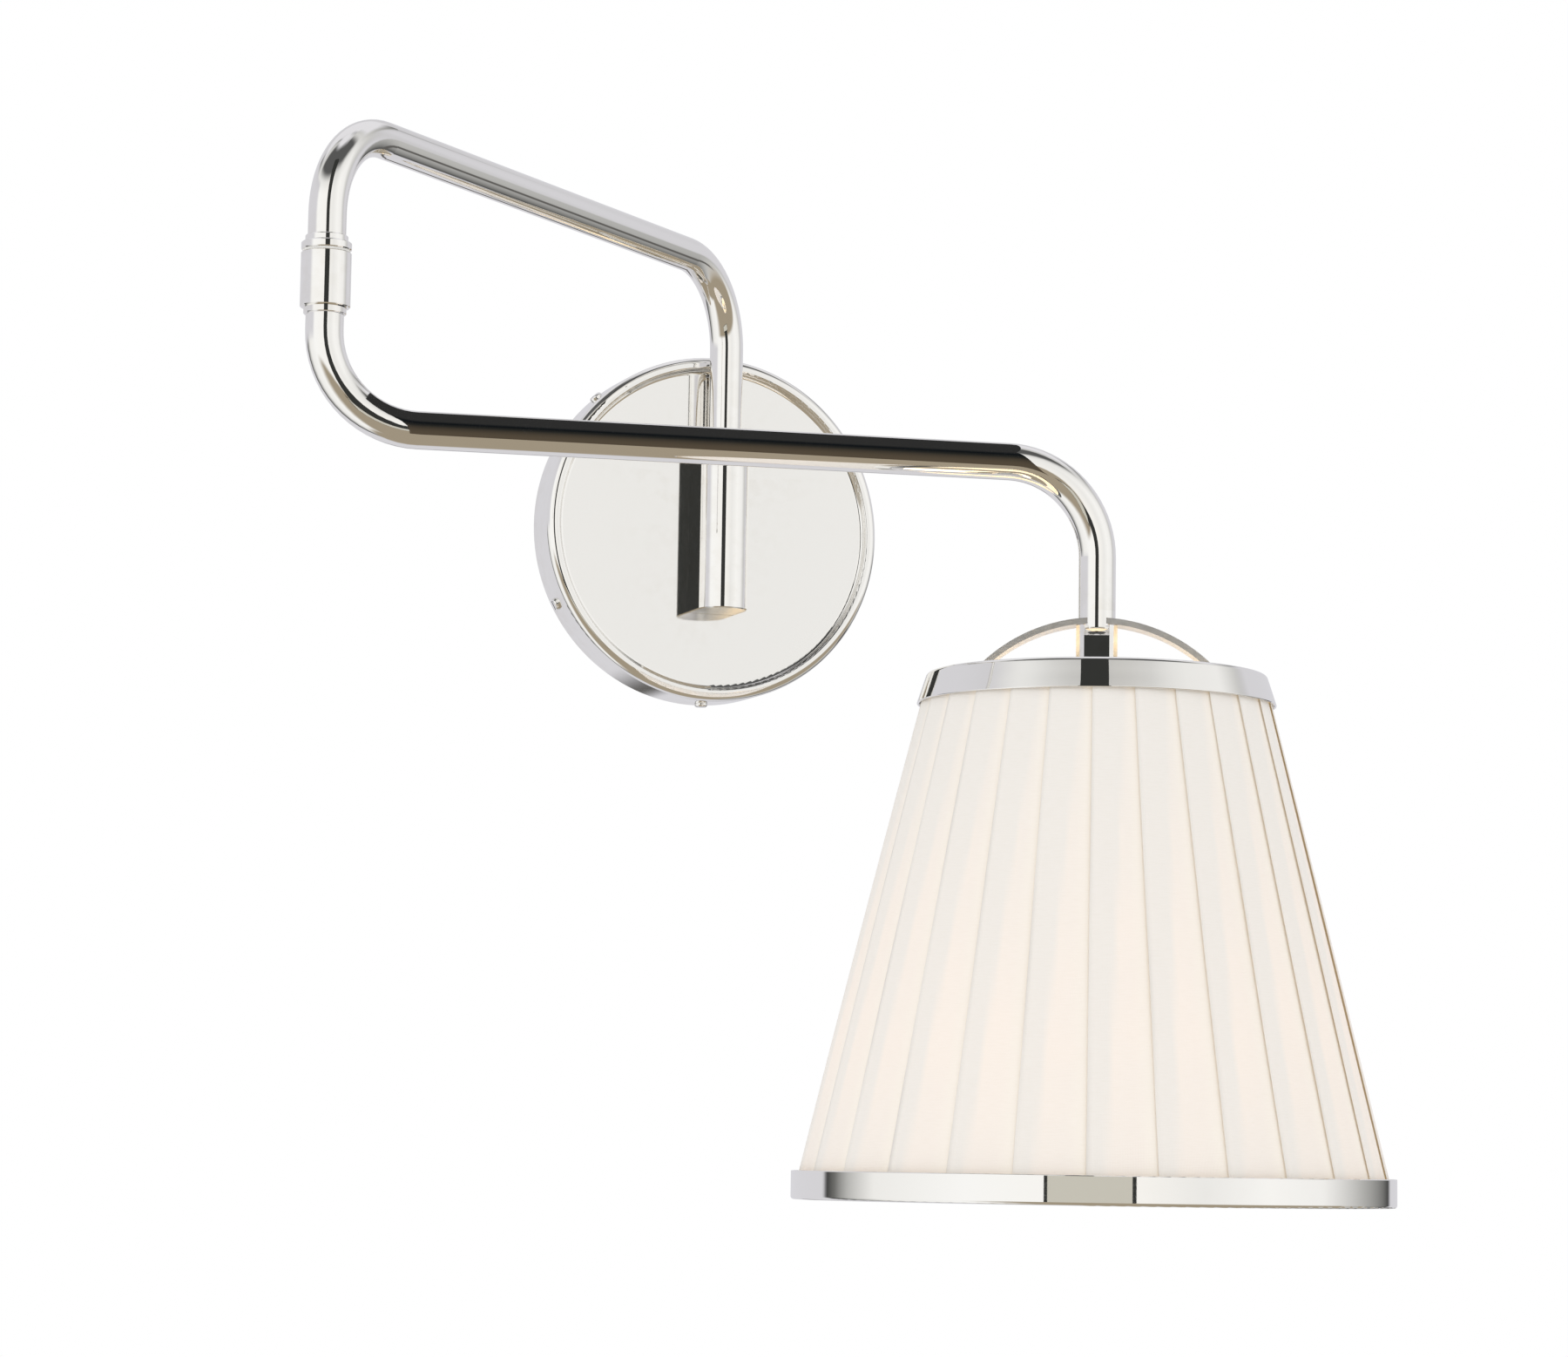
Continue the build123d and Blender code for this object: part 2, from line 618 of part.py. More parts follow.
with BuildPart() as lower_arm_wire:
    with BuildLine(ELBOW_PLANE) as lower_wire_route:
        FilletPolyline(
            (0, WIRE_SPLIT_Z),
            (0, LOWER_ARM_Z),
            (ARM_REACH, LOWER_ARM_Z),
            (ARM_REACH, below(COUPLING_BOTTOM + WIRE_TAIL)),
            radius=BEND_R,
        )
    with BuildSketch(level(ELBOW, WIRE_SPLIT_Z)):
        Circle(WIRE_R)
    sweep(path=lower_wire_route.line)
save(lower_arm_wire.part, "lower_arm_wire")

# ---------------------------------------------------------------- lower arm: shade carrier
with BuildPart() as shade_strap:
    with BuildLine(SHADE_PLANE) as strap_route:
        arch_r = STRAP_R - STRAP_T / 2
        foot_z = below(RING_TOP + LIP_T + STRAP_T / 2)
        crown = (0, below(STRAP_TOP + STRAP_T / 2))
        centre_z = below(STRAP_TOP + STRAP_R)
        # the arch meets the foot's small bend where the two circles touch from outside
        bend_centre_z = foot_z + STRAP_FOOT_R
        bend_centre_x = math.sqrt((arch_r + STRAP_FOOT_R) ** 2 - (bend_centre_z - centre_z) ** 2)
        touch = arch_r / (arch_r + STRAP_FOOT_R)
        touch_x = bend_centre_x * touch
        touch_z = centre_z + (bend_centre_z - centre_z) * touch
        half_turn = math.atan2(touch_z - bend_centre_z, touch_x - bend_centre_x)
        bend_mid = (half_turn - math.pi / 2) / 2 if half_turn < 0 else (half_turn + 1.5 * math.pi) / 2
        mid_x = bend_centre_x + STRAP_FOOT_R * math.cos(bend_mid)
        mid_z = bend_centre_z + STRAP_FOOT_R * math.sin(bend_mid)
        Line((-STRAP_REACH, foot_z), (-bend_centre_x, foot_z))
        ThreePointArc((-bend_centre_x, foot_z), (-mid_x, mid_z), (-touch_x, touch_z))
        ThreePointArc((-touch_x, touch_z), crown, (touch_x, touch_z))
        ThreePointArc((touch_x, touch_z), (mid_x, mid_z), (bend_centre_x, foot_z))
        Line((bend_centre_x, foot_z), (STRAP_REACH, foot_z))
    with BuildSketch(Plane(origin=strap_route.wire() @ 0, x_dir=(0, 0, 1), z_dir=strap_route.wire() % 0)):
        Rectangle(STRAP_T, STRAP_W)
    sweep(path=strap_route.wire())
    with BuildSketch(level(SHADE, below(STRAP_TOP - STRAP_T))):
        Circle(TUBE_R)
    with BuildSketch(level(SHADE, below(RING_TOP))):
        with Locations(*((foot.X, foot.Y) for foot in rivet_places())):
            Circle(RIVET_R)
    extrude(amount=-STRAP_R / 2, mode=Mode.SUBTRACT)
save(shade_strap.part, "shade_strap")

with BuildPart() as arm_hub:
    with BuildSketch(SHADE_PLANE):
        with BuildLine():
            hub_top = (TUBE_R, below(HUB_TOP))
            cove_top = (TUBE_R, below(COVE_TOP))
            neck = (HUB_NECK_R, below(NECK_TOP))
            Polyline(
                neck,
                (NIPPLE_R, below(NECK_TOP)),
                (NIPPLE_R, below(HUB_TOP + HUB_FLOOR)),
                (NIPPLE_BORE_R, below(HUB_TOP + HUB_FLOOR)),
                (NIPPLE_BORE_R, below(HUB_TOP - HUB_TAIL)),
                (TUBE_BORE_R, below(HUB_TOP - HUB_TAIL)),
                (TUBE_BORE_R, below(HUB_TOP)),
                hub_top,
                cove_top,
            )
            RadiusArc(cove_top, neck, radius=COVE_R)
        make_face()
    revolve(axis=upright_axis(SHADE))
save(arm_hub.part, "arm_hub")

with BuildPart() as socket_coupling:
    with BuildSketch(across_strap(COUPLING_TOP)):
        coupling_face = Rectangle(COUPLING_W, COUPLING_W)
        chamfer(coupling_face.vertices(), length=COUPLING_CHAMFER)
        Circle(NIPPLE_R, mode=Mode.SUBTRACT)
    extrude(amount=COUPLING_TOP - COUPLING_BOTTOM)
    # the hub's neck stands between two cheeks, open to the front and the back
    with BuildSketch(across_strap(COUPLING_TOP)):
        Rectangle(COUPLING_FLAT, COUPLING_W)
        Circle(TUBE_R + HUB_PLAY)
    extrude(amount=COUPLING_TOP - NECK_TOP, mode=Mode.SUBTRACT)
save(socket_coupling.part, "socket_coupling")

NIPPLE_BOTTOM = COUPLING_BOTTOM + CUP_T + NIPPLE_TAIL
with BuildPart() as socket_nipple:
    with BuildSketch(level(SHADE, below(NIPPLE_BOTTOM))):
        Circle(NIPPLE_R)
        Circle(NIPPLE_BORE_R, mode=Mode.SUBTRACT)
    extrude(amount=NIPPLE_BOTTOM - HUB_TOP - HUB_FLOOR)
save(socket_nipple.part, "socket_nipple")

with BuildPart() as socket_nut:
    with BuildSketch(level(SHADE, below(COUPLING_BOTTOM + CUP_T))):
        RegularPolygon(SOCKET_NUT_R, 6, major_radius=False)
        Circle(NIPPLE_R, mode=Mode.SUBTRACT)
    extrude(amount=-SOCKET_NUT_H)
save(socket_nut.part, "socket_nut")

with BuildPart() as socket_cup:
    with BuildSketch(SHADE_PLANE):
        with BuildLine():
            Polyline(
                (NIPPLE_R, below(COUPLING_BOTTOM)),
                (CUP_R, below(COUPLING_BOTTOM)),
                (CUP_R, below(COUPLING_BOTTOM + CUP_H)),
                (CUP_R - CUP_T, below(COUPLING_BOTTOM + CUP_H)),
                (CUP_R - CUP_T, below(COUPLING_BOTTOM + CUP_T)),
                (NIPPLE_R, below(COUPLING_BOTTOM + CUP_T)),
                close=True,
            )
        make_face()
    revolve(axis=upright_axis(SHADE))
    fillet(circles_over(socket_cup, CUP_R - CUP_T / 2).sort_by(Axis.Z)[-1], radius=CUP_EDGE_R)
save(socket_cup.part, "socket_cup")

HOLDER_TOP = COUPLING_BOTTOM + CUP_T + HOLDER_SEAT
CONTACT_TOP = SHELL_TOP - HOLDER_FLOOR
with BuildPart() as lamp_holder:
    with BuildSketch(SHADE_PLANE):
        with BuildLine():
            Polyline(
                (HOLDER_HOLE_R, below(HOLDER_TOP)),
                (HOLDER_R, below(HOLDER_TOP)),
                (HOLDER_R, below(HOLDER_BOTTOM)),
                (SHELL_R, below(HOLDER_BOTTOM)),
                (SHELL_R, below(CONTACT_TOP)),
                (HOLDER_HOLE_R, below(CONTACT_TOP)),
                close=True,
            )
        make_face()
    revolve(axis=upright_axis(SHADE))
    fillet(lamp_holder.edges().group_by(Axis.Z)[0].sort_by(SortBy.LENGTH)[-1], radius=HOLDER_EDGE_R)
save(lamp_holder.part, "lamp_holder")

with BuildPart() as screw_shell:
    with BuildSketch(level(SHADE, below(HOLDER_BOTTOM - SHELL_INSET))):
        Circle(SHELL_R)
        Circle(SHELL_R - SHELL_T, mode=Mode.SUBTRACT)
    extrude(amount=HOLDER_BOTTOM - SHELL_INSET - SHELL_TOP)
save(screw_shell.part, "screw_shell")

with BuildPart() as centre_contact:
    with BuildSketch(across_strap(CONTACT_TOP)):
        Rectangle(CONTACT_L, CONTACT_W)
    extrude(amount=-CONTACT_T)
    with BuildSketch(level(SHADE, below(CONTACT_TOP + CONTACT_T))):
        Circle(CONTACT_BUTTON_R)
    extrude(amount=CONTACT_TOP + CONTACT_T - BULB_TOP)
save(centre_contact.part, "centre_contact")

BULB_BASE_BOTTOM = HOLDER_BOTTOM - BULB_SEAT
with BuildPart() as bulb_base:
    with BuildSketch(SHADE_PLANE):
        with BuildLine():
            Polyline(
                (0, below(BULB_TOP)),
                (BULB_TIP_R, below(BULB_TOP)),
                (BULB_NECK_R, below(BULB_TOP + BULB_SHOULDER)),
                (BULB_NECK_R, below(BULB_BASE_BOTTOM)),
                (BULB_NECK_R - SHELL_T, below(BULB_BASE_BOTTOM)),
                (BULB_NECK_R - SHELL_T, below(BULB_TOP + BULB_SHOULDER_INNER)),
                (BULB_TIP_R, below(BULB_TOP + BULB_TIP_T)),
                (0, below(BULB_TOP + BULB_TIP_T)),
                close=True,
            )
        make_face()
    revolve(axis=upright_axis(SHADE))
save(bulb_base.part, "bulb_base")

with BuildPart() as bulb_glass:
    with BuildSketch(SHADE_PLANE):
        with BuildLine():
            lean, drop_in = math.sin(GLOBE_SHOULDER), math.cos(GLOBE_SHOULDER)
            neck_edge = (BULB_NECK_R, below(BULB_BASE_BOTTOM))
            neck_inner = (BULB_NECK_R - GLASS_T, below(BULB_BASE_BOTTOM))
            shoulder = (GLOBE_R * drop_in, below(GLOBE_CENTRE - GLOBE_R * lean))
            side = (GLOBE_R * math.cos(GLOBE_SIDE), below(GLOBE_CENTRE + GLOBE_R * math.sin(GLOBE_SIDE)))
            bottom = (0, below(GLOBE_CENTRE + GLOBE_R))
            bottom_inner = (0, below(GLOBE_CENTRE + GLOBE_R - GLASS_T))
            shoulder_inner = (shoulder[0] - GLASS_T, shoulder[1])
            side_in, side_up = GLASS_T * math.cos(GLOBE_SIDE), GLASS_T * math.sin(GLOBE_SIDE)
            side_inner = (side[0] - side_in, side[1] + side_up)
            Spline(neck_edge, shoulder, tangents=((0, -1), (lean, -drop_in)))
            ThreePointArc(shoulder, side, bottom)
            Line(bottom, bottom_inner)
            ThreePointArc(bottom_inner, side_inner, shoulder_inner)
            Spline(shoulder_inner, neck_inner, tangents=((-lean, drop_in), (0, 1)))
            Line(neck_inner, neck_edge)
        make_face()
    revolve(axis=upright_axis(SHADE))
save(bulb_glass.part, "bulb_glass")

# ---------------------------------------------------------------- lower arm: shade
RING_FOOT = RING_TOP + RING_H
LOWER_RING_FOOT = LOWER_RING_TOP + LOWER_RING_H


def cloth_r(drop):
    """Outer radius of the pleated cloth at a drop below the lower arm."""
    return CLOTH_R_TOP + (CLOTH_R_FOOT - CLOTH_R_TOP) * (drop - RING_FOOT) / (LOWER_RING_TOP - RING_FOOT)


with BuildPart() as shade_top_ring:
    with BuildSketch(SHADE_PLANE):
        with BuildLine():
            Polyline(
                (RING_LIP_R, below(RING_TOP)),
                (RING_TOP_R, below(RING_TOP)),
                (RING_FOOT_R, below(RING_FOOT)),
                (RING_FOOT_R - RING_T, below(RING_FOOT)),
                (RING_TOP_R - RING_T, below(RING_TOP + LIP_T)),
                (RING_LIP_R, below(RING_TOP + LIP_T)),
                close=True,
            )
        make_face()
    revolve(axis=upright_axis(SHADE))
    ring_crown = shade_top_ring.edges().group_by(Axis.Z)[-1].sort_by(SortBy.LENGTH)[-1]
    ring_hem = shade_top_ring.edges().group_by(Axis.Z)[0].sort_by(SortBy.LENGTH)[-1]
    fillet(ring_crown, radius=RING_CROWN_R)
    fillet(ring_hem, radius=RING_HEM_R)
    with BuildSketch(level(SHADE, below(RING_TOP))):
        with Locations(*((foot.X, foot.Y) for foot in rivet_places())):
            Circle(RIVET_R)
    extrude(amount=-LIP_T, mode=Mode.SUBTRACT)
save(shade_top_ring.part, "shade_top_ring")

RIVET_FOOT = RING_TOP + LIP_T + STRAP_T  # underside of the strap's foot
with BuildPart() as strap_rivets:
    for foot in rivet_places():
        rivet_at = SHADE + foot
        with BuildSketch(level(rivet_at, below(RING_TOP))):
            Circle(RIVET_HEAD_R)
        extrude(amount=RIVET_HEAD_H)
        with BuildSketch(level(rivet_at, below(RIVET_FOOT + RIVET_HEAD_H))):
            Circle(RIVET_HEAD_R)
        extrude(amount=RIVET_HEAD_H)
        with BuildSketch(level(rivet_at, below(RIVET_FOOT))):
            Circle(RIVET_R)
        extrude(amount=LIP_T + STRAP_T)
save(strap_rivets.part, "strap_rivets")

LINER_TOP = RING_TOP + LIP_T
LINER_FOOT = LOWER_RING_FOOT - LIP_T
with BuildPart() as shade_liner:
    with BuildSketch(SHADE_PLANE):
        with BuildLine():
            Polyline(
                (cloth_r(LINER_TOP) - CLOTH_T, below(LINER_TOP)),
                (cloth_r(LINER_FOOT) - CLOTH_T, below(LINER_FOOT)),
                (cloth_r(LINER_FOOT) - CLOTH_T - LINER_T, below(LINER_FOOT)),
                (cloth_r(LINER_TOP) - CLOTH_T - LINER_T, below(LINER_TOP)),
                close=True,
            )
        make_face()
    revolve(axis=upright_axis(SHADE))
save(shade_liner.part, "shade_liner")

CLOTH_FOOT = LOWER_RING_TOP + CLOTH_TUCK
with BuildPart() as shade_cloth:
    with BuildSketch(SHADE_PLANE):
        with BuildLine():
            Polyline(
                (cloth_r(CLOTH_TOP), below(CLOTH_TOP)),
                (cloth_r(CLOTH_FOOT), below(CLOTH_FOOT)),
                (cloth_r(CLOTH_FOOT) - CLOTH_T, below(CLOTH_FOOT)),
                (cloth_r(CLOTH_TOP) - CLOTH_T, below(CLOTH_TOP)),
                close=True,
            )
        make_face()
    revolve(axis=upright_axis(SHADE))
save(shade_cloth.part, "shade_cloth")

with BuildPart() as shade_bottom_ring:
    with BuildSketch(SHADE_PLANE):
        with BuildLine():
            Polyline(
                (LOWER_RING_R, below(LOWER_RING_TOP)),
                (LOWER_RING_R, below(LOWER_RING_FOOT)),
                (cloth_r(LINER_FOOT) - LOWER_RING_LIP, below(LOWER_RING_FOOT)),
                (cloth_r(LINER_FOOT) - LOWER_RING_LIP, below(LOWER_RING_FOOT - LIP_T)),
                (LOWER_RING_R - RING_T, below(LOWER_RING_FOOT - LIP_T)),
                (LOWER_RING_R - RING_T, below(LOWER_RING_TOP)),
                close=True,
            )
        make_face()
    revolve(axis=upright_axis(SHADE))
    lower_rim = shade_bottom_ring.edges().group_by(Axis.Z)[0].sort_by(SortBy.LENGTH)[-1]
    upper_rim = shade_bottom_ring.edges().group_by(Axis.Z)[-1].sort_by(SortBy.LENGTH)[-1]
    fillet(lower_rim, radius=LOWER_RING_EDGE_R)
    fillet(upper_rim, radius=RING_HEM_R)
save(shade_bottom_ring.part, "shade_bottom_ring")
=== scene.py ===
"""Looks of a swing arm wall sconce with a pleated shade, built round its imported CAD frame."""

import logging
import math
import random
from dataclasses import dataclass, field
from enum import Enum

import bpy
import numpy as np
from mathutils import Matrix, Vector


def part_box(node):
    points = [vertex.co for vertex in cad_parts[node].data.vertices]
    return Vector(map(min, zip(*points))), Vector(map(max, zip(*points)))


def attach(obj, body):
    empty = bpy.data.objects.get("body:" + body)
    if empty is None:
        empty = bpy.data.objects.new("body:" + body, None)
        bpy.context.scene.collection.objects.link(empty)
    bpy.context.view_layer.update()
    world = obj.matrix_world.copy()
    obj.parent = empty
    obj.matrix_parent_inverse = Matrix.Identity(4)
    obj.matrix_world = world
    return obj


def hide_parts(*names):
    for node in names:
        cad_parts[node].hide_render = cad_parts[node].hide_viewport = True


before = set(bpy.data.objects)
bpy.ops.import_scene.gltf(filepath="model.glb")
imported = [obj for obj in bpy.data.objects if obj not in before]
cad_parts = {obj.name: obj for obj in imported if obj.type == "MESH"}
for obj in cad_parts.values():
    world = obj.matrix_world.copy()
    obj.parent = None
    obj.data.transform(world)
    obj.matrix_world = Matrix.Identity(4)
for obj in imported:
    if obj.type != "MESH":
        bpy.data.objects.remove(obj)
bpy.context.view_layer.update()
LOG = logging.getLogger("sconce")
MM = 0.001
Colour = tuple[float, float, float]
Feed = float | Colour | bpy.types.NodeSocket


class Body(str, Enum):
    """The three bodies that move against one another."""

    WALL = "wall_mount"
    UPPER = "upper_arm_body"
    LOWER = "lower_arm_body"


class Slot(str, Enum):
    """The finishes, by slot name, with two softer nickels for the canopy and the strap."""

    NICKEL = "polished_nickel"
    SPUN = "polished_nickel_spun"
    BUFFED = "polished_nickel_satin"
    STEEL = "zinc_steel"
    GREEN = "ground_green"
    BRONZE = "bronze"
    NYLON = "nylon"
    JACKET = "wire_jacket"
    LINING = "shade_lining"
    CLOTH = "pleated_cloth"
    PORCELAIN = "porcelain"
    BRASS = "shell_brass"
    CAP = "bulb_cap"
    GLASS = "frosted_glass"


class Effect(str, Enum):
    """Surface effects that several finishes share."""

    POLISH = "polish marks"
    WEAR = "edge wear"
    GRAIN = "grain"
    WEAVE = "weave"
    DUST = "settled dust"


class Wiring:
    """Adds and joins the nodes of one node tree."""

    def __init__(self, tree: bpy.types.NodeTree) -> None:
        """Starts on a tree.

        Args:
            tree: The tree that nodes are added to.
        """
        self.tree = tree

    def add(self, kind: str, **inputs: Feed) -> bpy.types.Node:
        """Adds a node and feeds its inputs.

        Args:
            kind: The node's type name without the ShaderNode prefix.
            inputs: Values or sockets by input name, with _ for a space.

        Returns:
            The new node.
        """
        node = self.tree.nodes.new("ShaderNode" + kind)
        for name, value in inputs.items():
            self.feed(node.inputs[name.replace("_", " ")], value)
        return node

    def feed(self, socket: bpy.types.NodeSocket, value: Feed) -> None:
        """Links a socket, or sets its value.

        Args:
            socket: The input to feed.
            value: A socket to link, a number, or a colour.
        """
        if isinstance(value, bpy.types.NodeSocket):
            self.tree.links.new(value, socket)
        elif isinstance(value, tuple) and socket.type == "RGBA":
            socket.default_value = (*value, 1.0)
        else:
            socket.default_value = value

    def maths(self, operation: str, *values: Feed) -> bpy.types.NodeSocket:
        """Adds one math node.

        Args:
            operation: The node's operation.
            values: Its inputs in order.

        Returns:
            The result's socket.
        """
        node = self.add("Math")
        node.operation = operation
        for socket, value in zip(node.inputs, values):
            self.feed(socket, value)
        return node.outputs[0]

    def ramp(
        self, value: Feed, low: float, high: float, start: float = 0.0, end: float = 1.0
    ) -> bpy.types.NodeSocket:
        """Maps a range smoothly on to another.

        Args:
            value: What is mapped.
            low: The value that gives start.
            high: The value that gives end.
            start: The result at low.
            end: The result at high.

        Returns:
            The result's socket.
        """
        node = self.add("MapRange", Value=value)
        node.interpolation_type = "SMOOTHSTEP"
        for name, number in (("From Min", low), ("From Max", high), ("To Min", start), ("To Max", end)):
            self.feed(node.inputs[name], number)
        return node.outputs["Result"]

    def window(self, value: Feed, low: float, high: float, soft: float) -> bpy.types.NodeSocket:
        """A mask that is 1 between two values, with soft ends.

        Args:
            value: What is tested.
            low: Where the mask is half way up.
            high: Where it is half way down.
            soft: The width of each end.

        Returns:
            The mask's socket.
        """
        half = soft / 2
        rise = self.ramp(value, low - half, low + half)
        fall = self.ramp(value, high - half, high + half, 1.0, 0.0)
        return self.maths("MULTIPLY", rise, fall)

    def blend(self, factor: Feed, first: Feed, second: Feed) -> bpy.types.NodeSocket:
        """Mixes two colours.

        Args:
            factor: 0 gives the first, 1 the second.
            first: A colour or socket.
            second: A colour or socket.

        Returns:
            The mixed colour's socket.
        """
        node = self.add("Mix")
        node.data_type = "RGBA"
        colours = [s for s in node.inputs if s.type == "RGBA"]
        self.feed(node.inputs["Factor"], factor)
        self.feed(colours[0], first)
        self.feed(colours[1], second)
        return next(s for s in node.outputs if s.type == "RGBA")

    def colours(self, value: Feed, stops: tuple[tuple[float, Colour], ...]) -> bpy.types.NodeSocket:
        """Reads a row of colours.

        Args:
            value: Where the row is read, from 0 to 1.
            stops: Positions with their colours, in order.

        Returns:
            The colour's socket.
        """
        node = self.add("ValToRGB", Fac=value)
        row = node.color_ramp.elements
        while len(row) < len(stops):
            row.new(1.0)
        for element, (position, colour) in zip(row, stops):
            element.position = position
            element.color = (*colour, 1.0)
        return node.outputs["Color"]

    def noise(self, vector: Feed, scale: Feed, detail: float = 3.0) -> bpy.types.NodeSocket:
        """Adds a noise texture.

        Args:
            vector: Where it is read.
            scale: Its scale.
            detail: Its octaves.

        Returns:
            The noise value's socket.
        """
        return self.add("TexNoise", Vector=vector, Scale=scale, Detail=detail).outputs["Fac"]

    def effect(self, which: Effect, **inputs: Feed) -> bpy.types.Node:
        """Places a shared effect.

        Args:
            which: The effect's group.
            inputs: Values or sockets by input name, with _ for a space.

        Returns:
            The group node.
        """
        node = self.add("Group")
        node.node_tree = bpy.data.node_groups[which.value]
        for name, value in inputs.items():
            self.feed(node.inputs[name.replace("_", " ")], value)
        return node


@dataclass
class EffectLibrary:
    """Builds the node groups that the finishes share."""

    scratch_stretch: tuple[float, float, float] = (1.0, 1.0, 14.0)
    thread_sharpness: float = 0.7

    def start(
        self, which: Effect, inputs: dict[str, float], outputs: tuple[str, ...]
    ) -> tuple[Wiring, bpy.types.Node, bpy.types.Node]:
        """Makes an empty group with float sockets.

        Args:
            which: The effect that the group is for.
            inputs: Input names with their values.
            outputs: Output names.

        Returns:
            The group's wiring, its input node and its output node.
        """
        tree = bpy.data.node_groups.new(which.value, "ShaderNodeTree")
        for name, value in inputs.items():
            socket = tree.interface.new_socket(name=name, in_out="INPUT", socket_type="NodeSocketFloat")
            socket.default_value = value
        for name in outputs:
            tree.interface.new_socket(name=name, in_out="OUTPUT", socket_type="NodeSocketFloat")
        return Wiring(tree), tree.nodes.new("NodeGroupInput"), tree.nodes.new("NodeGroupOutput")

    def polish(self) -> None:
        """Fine wipe marks and slow waves of a buffed surface."""
        inputs = {"Scale": 60.0, "Smooth": 0.03, "Worn": 0.09}
        wires, given, out = self.start(Effect.POLISH, inputs, ("Roughness", "Height"))
        place = wires.add("TexCoord").outputs["Object"]
        long = wires.add("Mapping", Vector=place)
        long.inputs["Scale"].default_value = self.scratch_stretch
        marks = wires.noise(long.outputs["Vector"], wires.maths("MULTIPLY", given.outputs["Scale"], 6.0))
        clouds = wires.noise(place, given.outputs["Scale"])
        mixed = wires.maths("MULTIPLY", wires.ramp(marks, 0.4, 0.75), wires.ramp(clouds, 0.35, 0.7))
        spread = wires.maths("SUBTRACT", given.outputs["Worn"], given.outputs["Smooth"])
        rough = wires.maths("MULTIPLY_ADD", mixed, spread, given.outputs["Smooth"])
        wires.feed(out.inputs["Roughness"], rough)
        slow = wires.maths("MULTIPLY", given.outputs["Scale"], 0.4)
        wires.feed(out.inputs["Height"], wires.noise(place, slow, 1.0))

    def wear(self) -> None:
        """A mask along convex edges, broken up by noise."""
        wires, given, out = self.start(Effect.WEAR, {"Amount": 0.5, "Scale": 220.0}, ("Mask",))
        edge = wires.ramp(wires.add("NewGeometry").outputs["Pointiness"], 0.52, 0.62)
        place = wires.add("TexCoord").outputs["Object"]
        patches = wires.ramp(wires.noise(place, given.outputs["Scale"]), 0.4, 0.65)
        broken = wires.maths("MULTIPLY", edge, patches)
        wires.feed(out.inputs["Mask"], wires.maths("MULTIPLY", broken, given.outputs["Amount"]))

    def grain(self) -> None:
        """Fine grain, as of satin metal, moulded plastic or card."""
        wires, given, out = self.start(Effect.GRAIN, {"Scale": 900.0, "Contrast": 0.5}, ("Value", "Height"))
        place = wires.add("TexCoord").outputs["Object"]
        fine = wires.noise(place, given.outputs["Scale"], 4.0)
        coarse = wires.noise(place, wires.maths("MULTIPLY", given.outputs["Scale"], 0.11), 2.0)
        both = wires.maths("ADD", wires.maths("MULTIPLY", fine, 0.6), wires.maths("MULTIPLY", coarse, 0.4))
        centred = wires.maths("SUBTRACT", both, 0.5)
        wires.feed(out.inputs["Value"], wires.maths("MULTIPLY_ADD", centred, given.outputs["Contrast"], 0.5))
        wires.feed(out.inputs["Height"], fine)

    def weave(self) -> None:
        """Warp and weft threads over cloth coordinates in metres."""
        wires, given, out = self.start(Effect.WEAVE, {"Threads": 2400.0, "Slub": 0.35}, ("Height", "Tint"))
        cloth = wires.add("UVMap")
        cloth.uv_map = "cloth"
        split = wires.add("SeparateXYZ", Vector=cloth.outputs["UV"])
        turns = wires.maths("MULTIPLY", given.outputs["Threads"], math.pi)
        threads = [
            wires.maths("ABSOLUTE", wires.maths("SINE", wires.maths("MULTIPLY", split.outputs[axis], turns)))
            for axis in ("X", "Y")
        ]
        sharp = [wires.maths("POWER", thread, self.thread_sharpness) for thread in threads]
        crossed = wires.maths("MULTIPLY", *sharp)
        long = wires.add("Mapping", Vector=cloth.outputs["UV"])
        long.inputs["Scale"].default_value = (1.0, 9.0, 1.0)
        slubs = wires.ramp(wires.noise(long.outputs["Vector"], 260.0), 0.35, 0.75)
        wires.feed(out.inputs["Height"], crossed)
        wires.feed(out.inputs["Tint"], wires.maths("MULTIPLY", slubs, given.outputs["Slub"]))

    def dust(self) -> None:
        """A mask on faces that look up, broken into patches."""
        wires, given, out = self.start(Effect.DUST, {"Amount": 0.2, "Scale": 90.0}, ("Mask",))
        up = wires.add("SeparateXYZ", Vector=wires.add("NewGeometry").outputs["Normal"]).outputs["Z"]
        place = wires.add("TexCoord").outputs["Object"]
        patches = wires.ramp(wires.noise(place, given.outputs["Scale"]), 0.4, 0.7)
        settled = wires.maths("MULTIPLY", wires.ramp(up, 0.55, 1.0), patches)
        wires.feed(out.inputs["Mask"], wires.maths("MULTIPLY", settled, given.outputs["Amount"]))

    def build(self) -> None:
        """Builds every group once."""
        for make in (self.polish, self.wear, self.grain, self.weave, self.dust):
            make()


